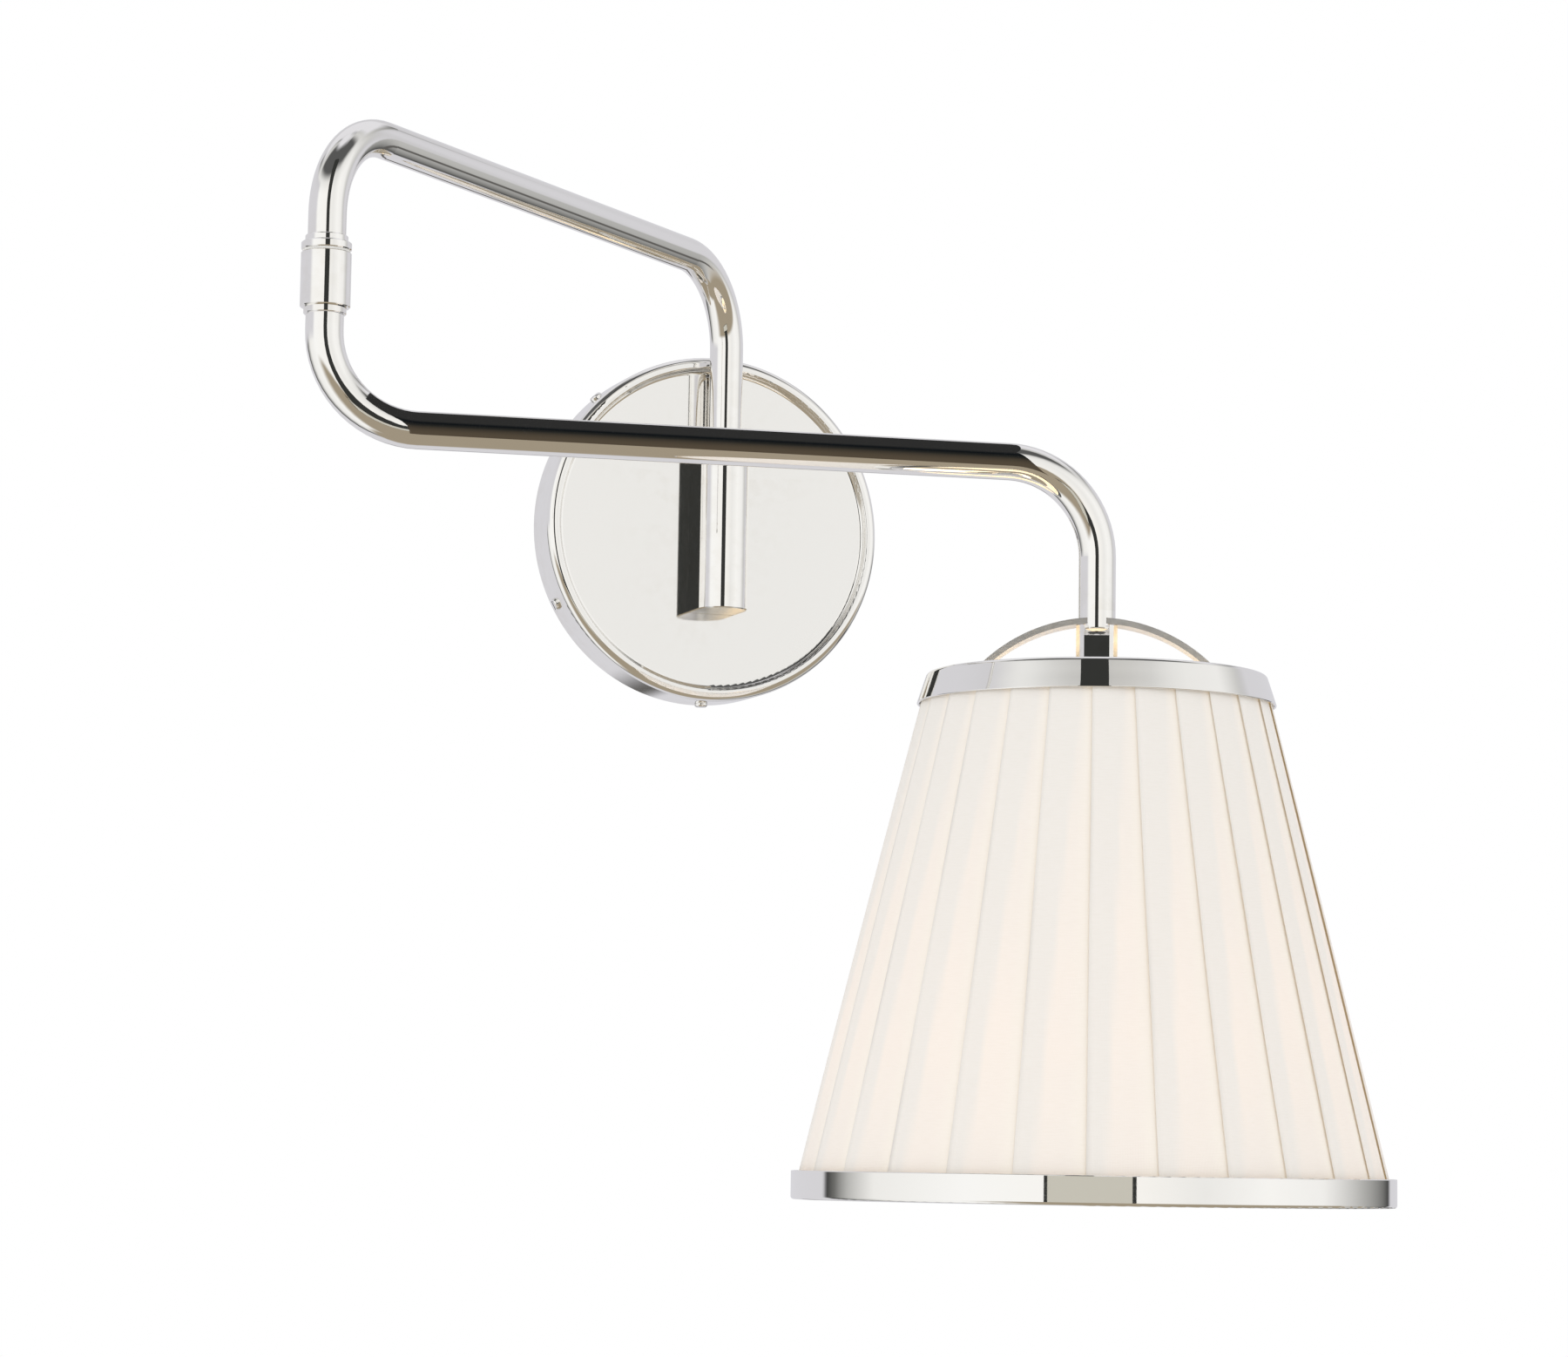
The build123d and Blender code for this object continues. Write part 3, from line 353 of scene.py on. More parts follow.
@dataclass(frozen=True)
class Finish:
    """What every finish has: a slot and a base colour."""

    slot: Slot
    colour: Colour

    def start(self) -> tuple[bpy.types.Material, Wiring, bpy.types.Node]:
        """Makes the material with its shader.

        Returns:
            The material, its wiring and its Principled shader.
        """
        material = bpy.data.materials.new(self.slot.value + " finish")
        material.use_nodes = True
        wires = Wiring(material.node_tree)
        return material, wires, material.node_tree.nodes["Principled BSDF"]

    def relief(
        self, wires: Wiring, shader: bpy.types.Node, height: Feed, depth: float, strength: float
    ) -> None:
        """Joins a bump to the shader.

        Args:
            wires: The material's wiring.
            shader: The Principled shader.
            height: The height's socket.
            depth: The relief's depth in metres.
            strength: How much of it shows.
        """
        bump = wires.add("Bump", Height=height, Distance=depth, Strength=strength)
        wires.feed(shader.inputs["Normal"], bump.outputs["Normal"])

    def build(self) -> bpy.types.Material:
        """Builds the material. Each finish has its own."""
        raise NotImplementedError


@dataclass(frozen=True)
class PolishedMetal(Finish):
    """Buffed plate that mirrors the room, with faint wipe marks and dulled edges."""

    worn_colour: Colour
    smooth: float = 0.02
    worn: float = 0.075
    wave: float = 0.02

    def build(self) -> bpy.types.Material:
        """Builds the material."""
        material, wires, shader = self.start()
        shader.inputs["Metallic"].default_value = 1.0
        polish = wires.effect(Effect.POLISH, Smooth=self.smooth, Worn=self.worn)
        wear = wires.effect(Effect.WEAR, Amount=0.35)
        dust = wires.effect(Effect.DUST, Amount=0.05)
        colour = wires.blend(wear.outputs["Mask"], self.colour, self.worn_colour)
        wires.feed(shader.inputs["Base Color"], wires.blend(dust.outputs["Mask"], colour, (0.7, 0.68, 0.64)))
        dulled = wires.maths("MULTIPLY_ADD", dust.outputs["Mask"], 0.5, polish.outputs["Roughness"])
        wires.feed(shader.inputs["Roughness"], dulled)
        self.relief(wires, shader, polish.outputs["Height"], 0.02 * MM, self.wave)
        return material


@dataclass(frozen=True)
class SpunMetal(PolishedMetal):
    """Buffed plate whose flat front keeps a soft spun bloom."""

    bloom: float = 0.04

    def build(self) -> bpy.types.Material:
        """Builds the material."""
        material = super().build()
        wires = Wiring(material.node_tree)
        rough = material.node_tree.nodes["Principled BSDF"].inputs["Roughness"]
        ahead = wires.add("SeparateXYZ", Vector=wires.add("NewGeometry").outputs["True Normal"]).outputs["Y"]
        flat = wires.ramp(ahead, -0.995, -0.999)
        edged = rough.links[0].from_socket
        wires.feed(rough, wires.maths("ADD", edged, wires.maths("MULTIPLY", flat, self.bloom)))
        return material


@dataclass(frozen=True)
class SatinMetal(Finish):
    """Zinc, bronze, brass or aluminium with a fine satin grain."""

    roughness: float
    contrast: float = 0.5

    def build(self) -> bpy.types.Material:
        """Builds the material."""
        material, wires, shader = self.start()
        shader.inputs["Metallic"].default_value = 1.0
        grain = wires.effect(Effect.GRAIN, Scale=1400.0, Contrast=self.contrast)
        wear = wires.effect(Effect.WEAR, Amount=0.6)
        darker = tuple(0.72 * part for part in self.colour)
        lighter = tuple(min(1.0, 1.15 * part) for part in self.colour)
        toned = wires.blend(grain.outputs["Value"], darker, lighter)
        wires.feed(shader.inputs["Base Color"], wires.blend(wear.outputs["Mask"], toned, (0.8, 0.8, 0.78)))
        wires.feed(
            shader.inputs["Roughness"],
            wires.maths("MULTIPLY_ADD", grain.outputs["Value"], 0.2, self.roughness - 0.1),
        )
        self.relief(wires, shader, grain.outputs["Height"], 0.03 * MM, 0.25)
        return material


@dataclass(frozen=True)
class MouldedSkin(Finish):
    """Dyed paint, nylon or wire jacket, with a faint mottled skin."""

    roughness: float
    metallic: float = 0.0

    def build(self) -> bpy.types.Material:
        """Builds the material."""
        material, wires, shader = self.start()
        shader.inputs["Metallic"].default_value = self.metallic
        shader.inputs["IOR"].default_value = 1.49
        grain = wires.effect(Effect.GRAIN, Scale=700.0, Contrast=0.6)
        wear = wires.effect(Effect.WEAR, Amount=0.4)
        darker = tuple(0.82 * part for part in self.colour)
        toned = wires.blend(grain.outputs["Value"], darker, self.colour)
        paler = tuple(min(1.0, part + 0.12) for part in self.colour)
        wires.feed(shader.inputs["Base Color"], wires.blend(wear.outputs["Mask"], toned, paler))
        wires.feed(
            shader.inputs["Roughness"],
            wires.maths("MULTIPLY_ADD", grain.outputs["Value"], 0.18, self.roughness - 0.09),
        )
        self.relief(wires, shader, grain.outputs["Height"], 0.04 * MM, 0.3)
        return material


@dataclass(frozen=True)
class GlazedBody(Finish):
    """White glaze over porcelain, with specks and slow waves."""

    coat: float = 0.6

    def build(self) -> bpy.types.Material:
        """Builds the material."""
        material, wires, shader = self.start()
        shader.inputs["Coat Weight"].default_value = self.coat
        shader.inputs["Coat Roughness"].default_value = 0.06
        shader.inputs["IOR"].default_value = 1.52
        polish = wires.effect(Effect.POLISH, Smooth=0.12, Worn=0.24)
        grain = wires.effect(Effect.GRAIN, Scale=420.0, Contrast=1.4)
        specks = wires.ramp(grain.outputs["Value"], 0.62, 0.75, 0.0, 0.25)
        wires.feed(shader.inputs["Base Color"], wires.blend(specks, self.colour, (0.62, 0.56, 0.48)))
        wires.feed(shader.inputs["Roughness"], polish.outputs["Roughness"])
        self.relief(wires, shader, polish.outputs["Height"], 0.1 * MM, 0.15)
        return material


@dataclass(frozen=True)
class LiningCard(Finish):
    """Thin translucent card behind the pleats, with a painted glow standing in for the bulb's light from
    within.
    """

    glow: Colour
    painted_glow_strength: float

    def build(self) -> bpy.types.Material:
        """Builds the material."""
        material, wires, shader = self.start()
        grain = wires.effect(Effect.GRAIN, Scale=520.0, Contrast=0.9)
        darker = tuple(0.94 * part for part in self.colour)
        wires.feed(shader.inputs["Base Color"], wires.blend(grain.outputs["Value"], darker, self.colour))
        wires.feed(shader.inputs["Roughness"], wires.ramp(grain.outputs["Value"], 0.2, 0.8, 0.7, 0.85))
        # Painted glow: emission stands in for the bulb's light shining on the card from within.
        dim = tuple(0.8 * part for part in self.glow)
        wires.feed(shader.inputs["Emission Color"], wires.blend(grain.outputs["Value"], dim, self.glow))
        shader.inputs["Emission Strength"].default_value = self.painted_glow_strength
        self.relief(wires, shader, grain.outputs["Height"], 0.05 * MM, 0.2)
        return material


@dataclass(frozen=True)
class PleatedLinen(Finish):
    """Ivory cloth with a painted glow for the bulb's light through it: warmer where one layer hides the
    bulb, cooler where pleats lie three deep, and a painted warm glow in the tucks.
    """

    shadow: Colour
    glow: Colour
    painted_glow_strength: float
    bulb_height: float
    glow_reach: float
    backing_dims: float = 0.75

    def build(self) -> bpy.types.Material:
        """Builds the material."""
        material, wires, shader = self.start()
        shader.inputs["Sheen Weight"].default_value = 0.12
        shader.inputs["Sheen Roughness"].default_value = 0.5
        shader.inputs["Specular IOR Level"].default_value = 0.25
        weave = wires.effect(Effect.WEAVE)
        dust = wires.effect(Effect.DUST, Amount=0.1)
        backing = wires.add("Attribute")
        backing.attribute_name = "backing"
        toned = wires.blend(weave.outputs["Tint"], self.colour, self.shadow)
        wires.feed(shader.inputs["Base Color"], wires.blend(dust.outputs["Mask"], toned, (0.7, 0.68, 0.63)))
        wires.feed(shader.inputs["Roughness"], wires.ramp(weave.outputs["Height"], 0.0, 1.0, 0.8, 0.62))
        # Painted glow: emission stands in for the bulb's light through the cloth, strongest level with the
        # bulb and dimmed where more layers back the cloth.
        place = wires.add("TexCoord").outputs["Object"]
        height = wires.add("SeparateXYZ", Vector=place).outputs["Z"]
        above = wires.maths("DIVIDE", wires.maths("SUBTRACT", height, self.bulb_height), self.glow_reach)
        level = wires.ramp(wires.maths("ABSOLUTE", above), 0.0, 1.0, 1.0, 0.0)
        uneven = wires.ramp(wires.noise(place, 28.0), 0.3, 0.7, 0.8, 1.0)
        backed = wires.maths("MULTIPLY", backing.outputs["Fac"], self.backing_dims)
        single = wires.maths("SUBTRACT", 1.0, backed)
        lit = wires.maths("MULTIPLY", wires.maths("MULTIPLY", level, uneven), single)
        # Painted warm light seeping out of the deep tucks between the pleats.
        tuck = wires.add("Attribute")
        tuck.attribute_name = "tuck"
        painted_tuck_glow = wires.ramp(tuck.outputs["Fac"], 0.45, 0.8)
        glowing = wires.blend(lit, (0.03, 0.02, 0.01), self.glow)
        wires.feed(shader.inputs["Emission Color"], wires.blend(painted_tuck_glow, glowing, (1.0, 0.72, 0.36)))
        shader.inputs["Emission Strength"].default_value = self.painted_glow_strength
        self.relief(wires, shader, weave.outputs["Height"], 0.06 * MM, 0.3)
        return material


@dataclass(frozen=True)
class FrostedBulb(Finish):
    """Soft white bulb glass that is lit, brighter at its middle."""

    strength: float
    middle: float
    reach: float

    def build(self) -> bpy.types.Material:
        """Builds the material."""
        material, wires, shader = self.start()
        polish = wires.effect(Effect.POLISH, Smooth=0.3, Worn=0.42)
        place = wires.add("TexCoord").outputs["Object"]
        height = wires.add("SeparateXYZ", Vector=place).outputs["Z"]
        away = wires.maths("DIVIDE", wires.maths("SUBTRACT", height, self.middle), self.reach)
        level = wires.ramp(wires.maths("ABSOLUTE", away), 0.0, 1.0, 1.0, 0.35)
        wires.feed(shader.inputs["Base Color"], wires.blend(level, self.colour, (0.99, 0.97, 0.92)))
        wires.feed(shader.inputs["Roughness"], polish.outputs["Roughness"])
        wires.feed(shader.inputs["Emission Color"], wires.blend(level, (0.6, 0.42, 0.24), (1.0, 0.84, 0.62)))
        shader.inputs["Emission Strength"].default_value = self.strength
        self.relief(wires, shader, polish.outputs["Height"], 0.08 * MM, 0.2)
        return material


@dataclass
class Dresser:
    """Keeps the built finishes and puts them on pieces."""

    materials: dict[Slot, bpy.types.Material] = field(default_factory=dict)

    def build(self, finishes: tuple[Finish, ...]) -> None:
        """Builds each finish once.

        Args:
            finishes: Every finish that the sconce has.
        """
        for finish in finishes:
            self.materials[finish.slot] = finish.build()
            LOG.info("finish %s", finish.slot.value)

    def dress(self, piece: bpy.types.Object, slot: Slot) -> None:
        """Puts a finish on all of a piece.

        Args:
            piece: The object to dress.
            slot: The finish's slot.
        """
        if not piece.material_slots:
            piece.data.materials.append(self.materials[slot])
        for holder in piece.material_slots:
            holder.material = self.materials[slot]
        LOG.info("piece %s in %s", piece.name, slot.value)


@dataclass
class SubAssembly:
    """A group of CAD pieces on one body, each with its finish."""

    dresser: Dresser
    pieces: dict[str, Slot] = field(default_factory=dict)
    not_mirrored: tuple[str, ...] = ()

    def dress(self) -> None:
        """Dresses each CAD piece of the sub-assembly."""
        for name, slot in self.pieces.items():
            self.dresser.dress(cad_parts[name], slot)
        for name in self.not_mirrored:
            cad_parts[name].visible_glossy = False


@dataclass
class WallMount(SubAssembly):
    """Mounting pan, canopy, hinge block and their hardware."""

    pieces: dict[str, Slot] = field(default_factory=lambda: {
        "mounting_pan": Slot.STEEL,
        "ground_screw": Slot.GREEN,
        "canopy": Slot.SPUN,
        "canopy_screws": Slot.NICKEL,
        "hinge_block": Slot.NICKEL,
        "hinge_block_screws": Slot.STEEL,
        "post_set_screw": Slot.STEEL,
        "post_bushes": Slot.BRONZE,
        "post_washer": Slot.NYLON,
        "supply_wire": Slot.JACKET,
    })


@dataclass
class UpperArm(SubAssembly):
    """The arm on the wall post, with the upper half of the elbow."""

    pieces: dict[str, Slot] = field(default_factory=lambda: {
        "upper_arm": Slot.NICKEL,
        "post_spigot": Slot.STEEL,
        "elbow_cap": Slot.NICKEL,
        "elbow_pin": Slot.STEEL,
        "elbow_nut": Slot.STEEL,
        "upper_arm_wire": Slot.JACKET,
    })


@dataclass
class LowerArm(SubAssembly):
    """The second arm, with the elbow's sleeve and the hub over the shade."""

    pieces: dict[str, Slot] = field(default_factory=lambda: {
        "elbow_sleeve": Slot.NICKEL,
        "elbow_bush": Slot.BRONZE,
        "elbow_washer": Slot.NYLON,
        "elbow_collar": Slot.NICKEL,
        "lower_arm": Slot.NICKEL,
        "lower_arm_wire": Slot.JACKET,
        "arm_hub": Slot.NICKEL,
    })
    not_mirrored: tuple[str, ...] = ("lower_arm", "lower_arm_wire", "arm_hub")


@dataclass
class LampSocket(SubAssembly):
    """Coupling, cup, porcelain holder and lit bulb."""

    pieces: dict[str, Slot] = field(default_factory=lambda: {
        "socket_coupling": Slot.NICKEL,
        "socket_nipple": Slot.STEEL,
        "socket_nut": Slot.STEEL,
        "socket_cup": Slot.NICKEL,
        "lamp_holder": Slot.PORCELAIN,
        "screw_shell": Slot.BRASS,
        "centre_contact": Slot.BRASS,
        "bulb_base": Slot.CAP,
        "bulb_glass": Slot.GLASS,
    })


@dataclass
class PleatedShade(SubAssembly):
    """Carrier strap, two rings, lining and the knife-pleated cloth."""

    pieces: dict[str, Slot] = field(default_factory=lambda: {
        "shade_strap": Slot.BUFFED,
        "strap_rivets": Slot.STEEL,
        "shade_top_ring": Slot.NICKEL,
        "shade_bottom_ring": Slot.NICKEL,
        "shade_liner": Slot.LINING,
    })
    pleats: int = 27
    cloth_per_pleat: float = 34 * MM
    first_fold: float = math.radians(-115.1)
    rows: int = 30
    face_steps: int = 10
    under_steps: int = 3
    stack: float = 1.08 * MM
    swell: float = 0.35 * MM
    hand: float = math.radians(0.35)
    drift: float = 0.12
    drift_waves: float = 1.5
    seed: int = 27
    edge_band: float = 0.2 * MM
    fold_depth: float = 0.03
    face_depth: float = 0.72
    face_curve: float = 1.3
    tuck_depth: float = 0.75
    tuck_slope: float = 0.22
    turn_depth: float = 0.8
    return_depth: float = 0.38
    return_slope: float = 0.2
    last_depth: float = 0.22
    cover_fade: float = 0.08

    def cone(self) -> tuple[Vector, float, float, float, float]:
        """Reads the cone that the cloth lies on from its CAD solid.

        Returns:
            A point of the axis, the top and foot radii, and the top and foot heights.
        """
        low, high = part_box("shade_cloth")
        centre = Vector(((low[0] + high[0]) / 2, (low[1] + high[1]) / 2, 0.0))
        points = [v.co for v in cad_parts["shade_cloth"].data.vertices]
        top = max((p - centre).xy.length for p in points if p.z > high[2] - self.edge_band)
        foot = max((p - centre).xy.length for p in points if p.z < low[2] + self.edge_band)
        return centre, top, foot, high[2], low[2]

    def profile(self, under: float, turn: float) -> list[tuple[float, float, float, float]]:
        """One pleat's walk across the cloth, from its fold edge to the next.

        Args:
            under: The angle that the cloth is tucked under the next pleat.
            turn: The angle from one fold edge to the next.

        Returns:
            Rows of angle, depth below the cone (0 to 1), backing and share of the pleat's cloth.
        """
        whole = turn + 2 * under
        walk = []
        for step in range(self.face_steps + 1):
            part = step / self.face_steps
            angle = turn * part
            depth = self.fold_depth + self.face_depth * part ** self.face_curve
            past = max(0.0, angle - under) / (self.cover_fade * turn)
            over = max(0.0, 1.0 - past)
            walk.append((angle, depth, over, angle / whole))
        for step in range(1, self.under_steps + 1):
            part = step / self.under_steps
            angle = turn + under * part
            walk.append((angle, self.tuck_depth + self.tuck_slope * part, 1.0, angle / whole))
        walk.append((turn + under * 1.02, self.turn_depth, 1.0, (turn + under * 1.01) / whole))
        for step in range(self.under_steps):
            part = 1 - step / self.under_steps
            angle = turn + under * part
            share = (turn + under * (2 - part)) / whole
            walk.append((angle, self.return_depth + self.return_slope * part, 1.0, share))
        walk.append((turn - 0.004 * turn, self.last_depth, 1.0, (whole - 0.01 * under) / whole))
        return walk

    def build_cloth(self) -> bpy.types.Object:
        """Pleats one strip of cloth round the cone.

        Returns:
            The cloth piece.
        """
        centre, top, foot, high, low = self.cone()
        turn = 2 * math.pi / self.pleats
        slant = math.hypot(foot - top, high - low)
        dice = random.Random(self.seed)
        nudges = [dice.uniform(-self.hand, self.hand) for _ in range(self.pleats)]
        waves = [(dice.uniform(0.6, 1.0), dice.uniform(0, 2 * math.pi)) for _ in range(self.pleats)]
        columns = len(self.profile(turn / 4, turn)) * self.pleats
        points, cloth, backing, tuck = [], [], [], []
        for row in range(self.rows + 1):
            part = row / self.rows
            radius = foot + (top - foot) * part
            height = low + (high - low) * part
            under = (self.cloth_per_pleat - turn * radius) / 2 / radius
            belly = self.swell * math.sin(math.pi * part)
            for pleat in range(self.pleats):
                amount, phase = waves[pleat]
                sway = math.sin(2 * math.pi * self.drift_waves * part + phase)
                drift = self.drift * self.hand * amount * sway
                following = nudges[(pleat + 1) % self.pleats] - nudges[pleat]
                for angle, depth, over, share in self.profile(under, turn):
                    moved = nudges[pleat] + following * min(1.0, angle / turn) + drift
                    around = self.first_fold + pleat * turn + angle + moved
                    out = radius - depth * self.stack + belly * (1 - depth)
                    across, deep = out * math.cos(around), out * math.sin(around)
                    points.append((centre.x + across, centre.y + deep, height))
                    cloth.append(((pleat + share) * self.cloth_per_pleat, part * slant))
                    backing.append(over)
                    tuck.append(depth)
        faces, corners = [], []
        for row in range(self.rows):
            for column in range(columns):
                after = (column + 1) % columns
                lower, upper = row * columns, (row + 1) * columns
                faces.append((lower + column, lower + after, upper + after, upper + column))
                wrap = self.pleats * self.cloth_per_pleat if after == 0 else 0.0
                corners.extend((
                    cloth[lower + column],
                    (cloth[lower + after][0] + wrap, cloth[lower + after][1]),
                    (cloth[upper + after][0] + wrap, cloth[upper + after][1]),
                    cloth[upper + column],
                ))
        mesh = bpy.data.meshes.new("pleated_cloth")
        mesh.from_pydata(points, [], faces)
        mesh.uv_layers.new(name="cloth").data.foreach_set("uv", np.array(corners, dtype=np.float32).ravel())
        mesh.attributes.new("backing", "FLOAT", "POINT").data.foreach_set("value", backing)
        mesh.attributes.new("tuck", "FLOAT", "POINT").data.foreach_set("value", tuck)
        mesh.shade_smooth()
        mesh.update()
        piece = bpy.data.objects.new("pleated_cloth", mesh)
        bpy.context.collection.objects.link(piece)
        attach(piece, Body.LOWER.value)
        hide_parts("shade_cloth")
        return piece

    def dress(self) -> None:
        """Dresses the CAD pieces and the cloth."""
        super().dress()
        self.dresser.dress(self.build_cloth(), Slot.CLOTH)


@dataclass
class Studio:
    """Camera, pale floor, soft light, and the room that the nickel mirrors."""

    place: Colour = (-0.532617, -1.590556, -0.242611)
    yaw: float = 0.34347
    pitch: float = 0.11103
    roll: float = 0.01555
    lens: float = 100.0
    sensor: float = 36.0
    floor_height: float = -2.4
    floor_half: float = 30.0
    across: tuple[float, float] = (0.941, -0.339)
    lilac: Colour = (0.69, 0.685, 0.72)
    ceiling: Colour = (0.80, 0.795, 0.83)
    planks: Colour = (0.37, 0.315, 0.235)
    night: Colour = (0.036, 0.037, 0.035)
    dim: Colour = (0.45, 0.45, 0.44)
    skirting: Colour = (0.12, 0.115, 0.11)
    dusk: Colour = (0.10, 0.10, 0.10)
    paper: Colour = (0.96, 0.96, 0.96)
    paper_glow: float = 0.12
    flag_root: tuple[float, float, float] = (-0.200362, -0.206022, -0.0033)
    flag_along: tuple[float, float, float] = (0.9932, -0.1167, 0.0)
    flag_ends: tuple[float, float] = (30 * MM, 247 * MM)
    flag_line: tuple[tuple[float, float], ...] = (
        (26 * MM, -16 * MM),
        (26 * MM, 30 * MM),
        (-17 * MM, 30 * MM),
    )
    flag_shading: tuple[float, float] = (-13 * MM, 30 * MM)
    flag_tones: tuple[tuple[float, Colour], ...] = (
        (0.0, (0.09, 0.07, 0.048)),
        (0.4, (0.02, 0.02, 0.018)),
        (0.7, (0.004, 0.006, 0.008)),
        (1.0, (0.03, 0.03, 0.03)),
    )
    flag_reach: float = 60 * MM
    cards_middle: tuple[float, float, float] = (-0.33, -1.08, 0.0)
    cards: tuple[tuple[str, float, float, float, float, Colour], ...] = (
        ("gap", 0.17, -0.19, 1.7, 0.0, night),
        ("door", 0.27, -0.375, -0.185, 0.002, night),
        ("pane", 0.245, -0.36, -0.20, 0.006, (0.60, 0.58, 0.51)),
    )
    round_the_room: tuple[tuple[float, Colour], ...] = (
        (-180.0, (0.70, 0.695, 0.73)),
        (-147.0, (0.70, 0.695, 0.73)),
        (-144.0, (0.05, 0.05, 0.05)),
        (-138.0, (0.16, 0.16, 0.155)),
        (-129.0, (0.50, 0.50, 0.49)),
        (-114.0, (0.90, 0.895, 0.88)),
        (-72.0, (1.0, 1.0, 0.99)),
        (-5.0, (0.98, 0.965, 0.935)),
        (18.0, (0.885, 0.88, 0.865)),
        (45.0, (0.99, 0.985, 0.97)),
        (72.0, (0.93, 0.925, 0.915)),
        (98.0, (0.46, 0.46, 0.45)),
        (116.0, (0.20, 0.20, 0.195)),
        (124.0, (0.06, 0.06, 0.06)),
        (128.0, (0.68, 0.675, 0.71)),
        (180.0, (0.70, 0.695, 0.73)),
    )

    def camera(self) -> None:
        """Places the camera, with the eye's own tilt."""
        data = bpy.data.cameras.new("camera")
        data.lens, data.sensor_width, data.sensor_fit = self.lens, self.sensor, "HORIZONTAL"
        data.clip_start, data.clip_end = 0.01, 200.0
        level = Vector((math.cos(self.yaw), -math.sin(self.yaw), 0.0))
        ahead = Vector((
            math.sin(self.yaw) * math.cos(self.pitch),
            math.cos(self.yaw) * math.cos(self.pitch),
            math.sin(self.pitch),
        ))
        above = level.cross(ahead)
        right = math.cos(self.roll) * level + math.sin(self.roll) * above
        up = -math.sin(self.roll) * level + math.cos(self.roll) * above
        turned = Matrix((right, up, -ahead)).transposed().to_4x4()
        eye = bpy.data.objects.new("camera", data)
        eye.matrix_world = Matrix.Translation(Vector(self.place)) @ turned
        bpy.context.collection.objects.link(eye)
        bpy.context.scene.camera = eye

    def sheet_of(self, name: str, corners: list[Colour], colour: Colour, glow: float) -> bpy.types.Object:
        """Adds one flat card of the set.

        Args:
            name: The card's name.
            corners: Its corners in order.
            colour: Its colour.
            glow: How much light of its own it gives.

        Returns:
            The card.
        """
        mesh = bpy.data.meshes.new(name)
        mesh.from_pydata(corners, [], [tuple(range(len(corners)))])
        material = bpy.data.materials.new(name)
        material.use_nodes = True
        wires = Wiring(material.node_tree)
        shader = material.node_tree.nodes["Principled BSDF"]
        mottled = wires.noise(wires.add("TexCoord").outputs["Object"], 1.5)
        paler = tuple(min(1.0, part * 1.02) for part in colour)
        wires.feed(shader.inputs["Base Color"], wires.blend(mottled, colour, paler))
        shader.inputs["Roughness"].default_value = 0.95
        shader.inputs["Specular IOR Level"].default_value = 0.0
        shader.inputs["Emission Color"].default_value = (*colour, 1.0)
        shader.inputs["Emission Strength"].default_value = glow
        mesh.materials.append(material)
        card = bpy.data.objects.new(name, mesh)
        bpy.context.collection.objects.link(card)
        return card

    def floor(self) -> None:
        """Lays the floor."""
        half, down = self.floor_half, self.floor_height
        ground = [(-half, -half, down), (half, -half, down), (half, half, down), (-half, half, down)]
        floor = self.sheet_of("floor", ground, self.paper, self.paper_glow)
        floor.visible_glossy = False

    def flag_point(self, along: float, out: float, up: float) -> tuple[float, float, float]:
        """Places a point by its distances from the start of the lower arm.

        Args:
            along: Along the arm.
            out: Away from the wall.
            up: Above the arm's axis.

        Returns:
            The point.
        """
        front = Vector((self.flag_along[1], -self.flag_along[0], 0.0))
        point = Vector(self.flag_root) + Vector(self.flag_along) * along + front * out
        return point.x, point.y, point.z + up

    def flag_skin(self) -> bpy.types.Material:
        """Builds the dark skin of the flag, which only near pieces mirror.

        Returns:
            The material.
        """
        material = bpy.data.materials.new("flag")
        material.use_nodes = True
        wires = Wiring(material.node_tree)
        shader, out = (material.node_tree.nodes[name] for name in ("Principled BSDF", "Material Output"))
        height = wires.add("SeparateXYZ", Vector=wires.add("TexCoord").outputs["Object"]).outputs["Z"]
        toned = wires.colours(wires.ramp(height, *self.flag_shading), self.flag_tones)
        wires.feed(shader.inputs["Emission Color"], toned)
        wires.feed(shader.inputs["Base Color"], (0.0, 0.0, 0.0))
        shader.inputs["Specular IOR Level"].default_value = 0.0
        shader.inputs["Emission Strength"].default_value = 1.0
        close = wires.maths("LESS_THAN", wires.add("LightPath").outputs["Ray Length"], self.flag_reach)
        mixed = wires.add("MixShader")
        wires.feed(mixed.inputs[0], close)
        wires.feed(mixed.inputs[1], wires.add("BsdfTransparent").outputs[0])
        wires.feed(mixed.inputs[2], shader.outputs[0])
        wires.feed(out.inputs["Surface"], mixed.outputs[0])
        return material

    def flag(self) -> None:
        """Hangs the dark bent card that the lower arm mirrors."""
        points = [self.flag_point(mm, out, up) for out, up in self.flag_line for mm in self.flag_ends]
        mesh = bpy.data.meshes.new("flag")
        mesh.from_pydata(points, [], [(0, 1, 3, 2), (2, 3, 5, 4)])
        mesh.materials.append(self.flag_skin())
        flag = bpy.data.objects.new("flag", mesh)
        bpy.context.collection.objects.link(flag)
        flag.visible_camera = flag.visible_diffuse = flag.visible_shadow = False
        flag.visible_transmission = False

    def window_cards(self) -> None:
        """Stands the dark gap between the soft boxes and the door below it, which upright nickel mirrors."""
        middle, across = Vector(self.cards_middle), Vector((*self.across, 0.0))
        toward = Vector((-self.across[1], self.across[0], 0.0))
        for name, half, low, high, nearer, shade in self.cards:
            centre = middle + toward * nearer
            left, right = (centre - across * half).xy, (centre + across * half).xy
            corners = [(*left, low), (*right, low), (*right, high), (*left, high)]
            card = self.sheet_of(name, corners, (0.0, 0.0, 0.0), 1.0)
            glow = card.data.materials[0].node_tree.nodes["Principled BSDF"].inputs["Emission Color"]
            glow.default_value = (*shade, 1.0)
            card.visible_camera = card.visible_diffuse = False
            card.visible_shadow = card.visible_transmission = False

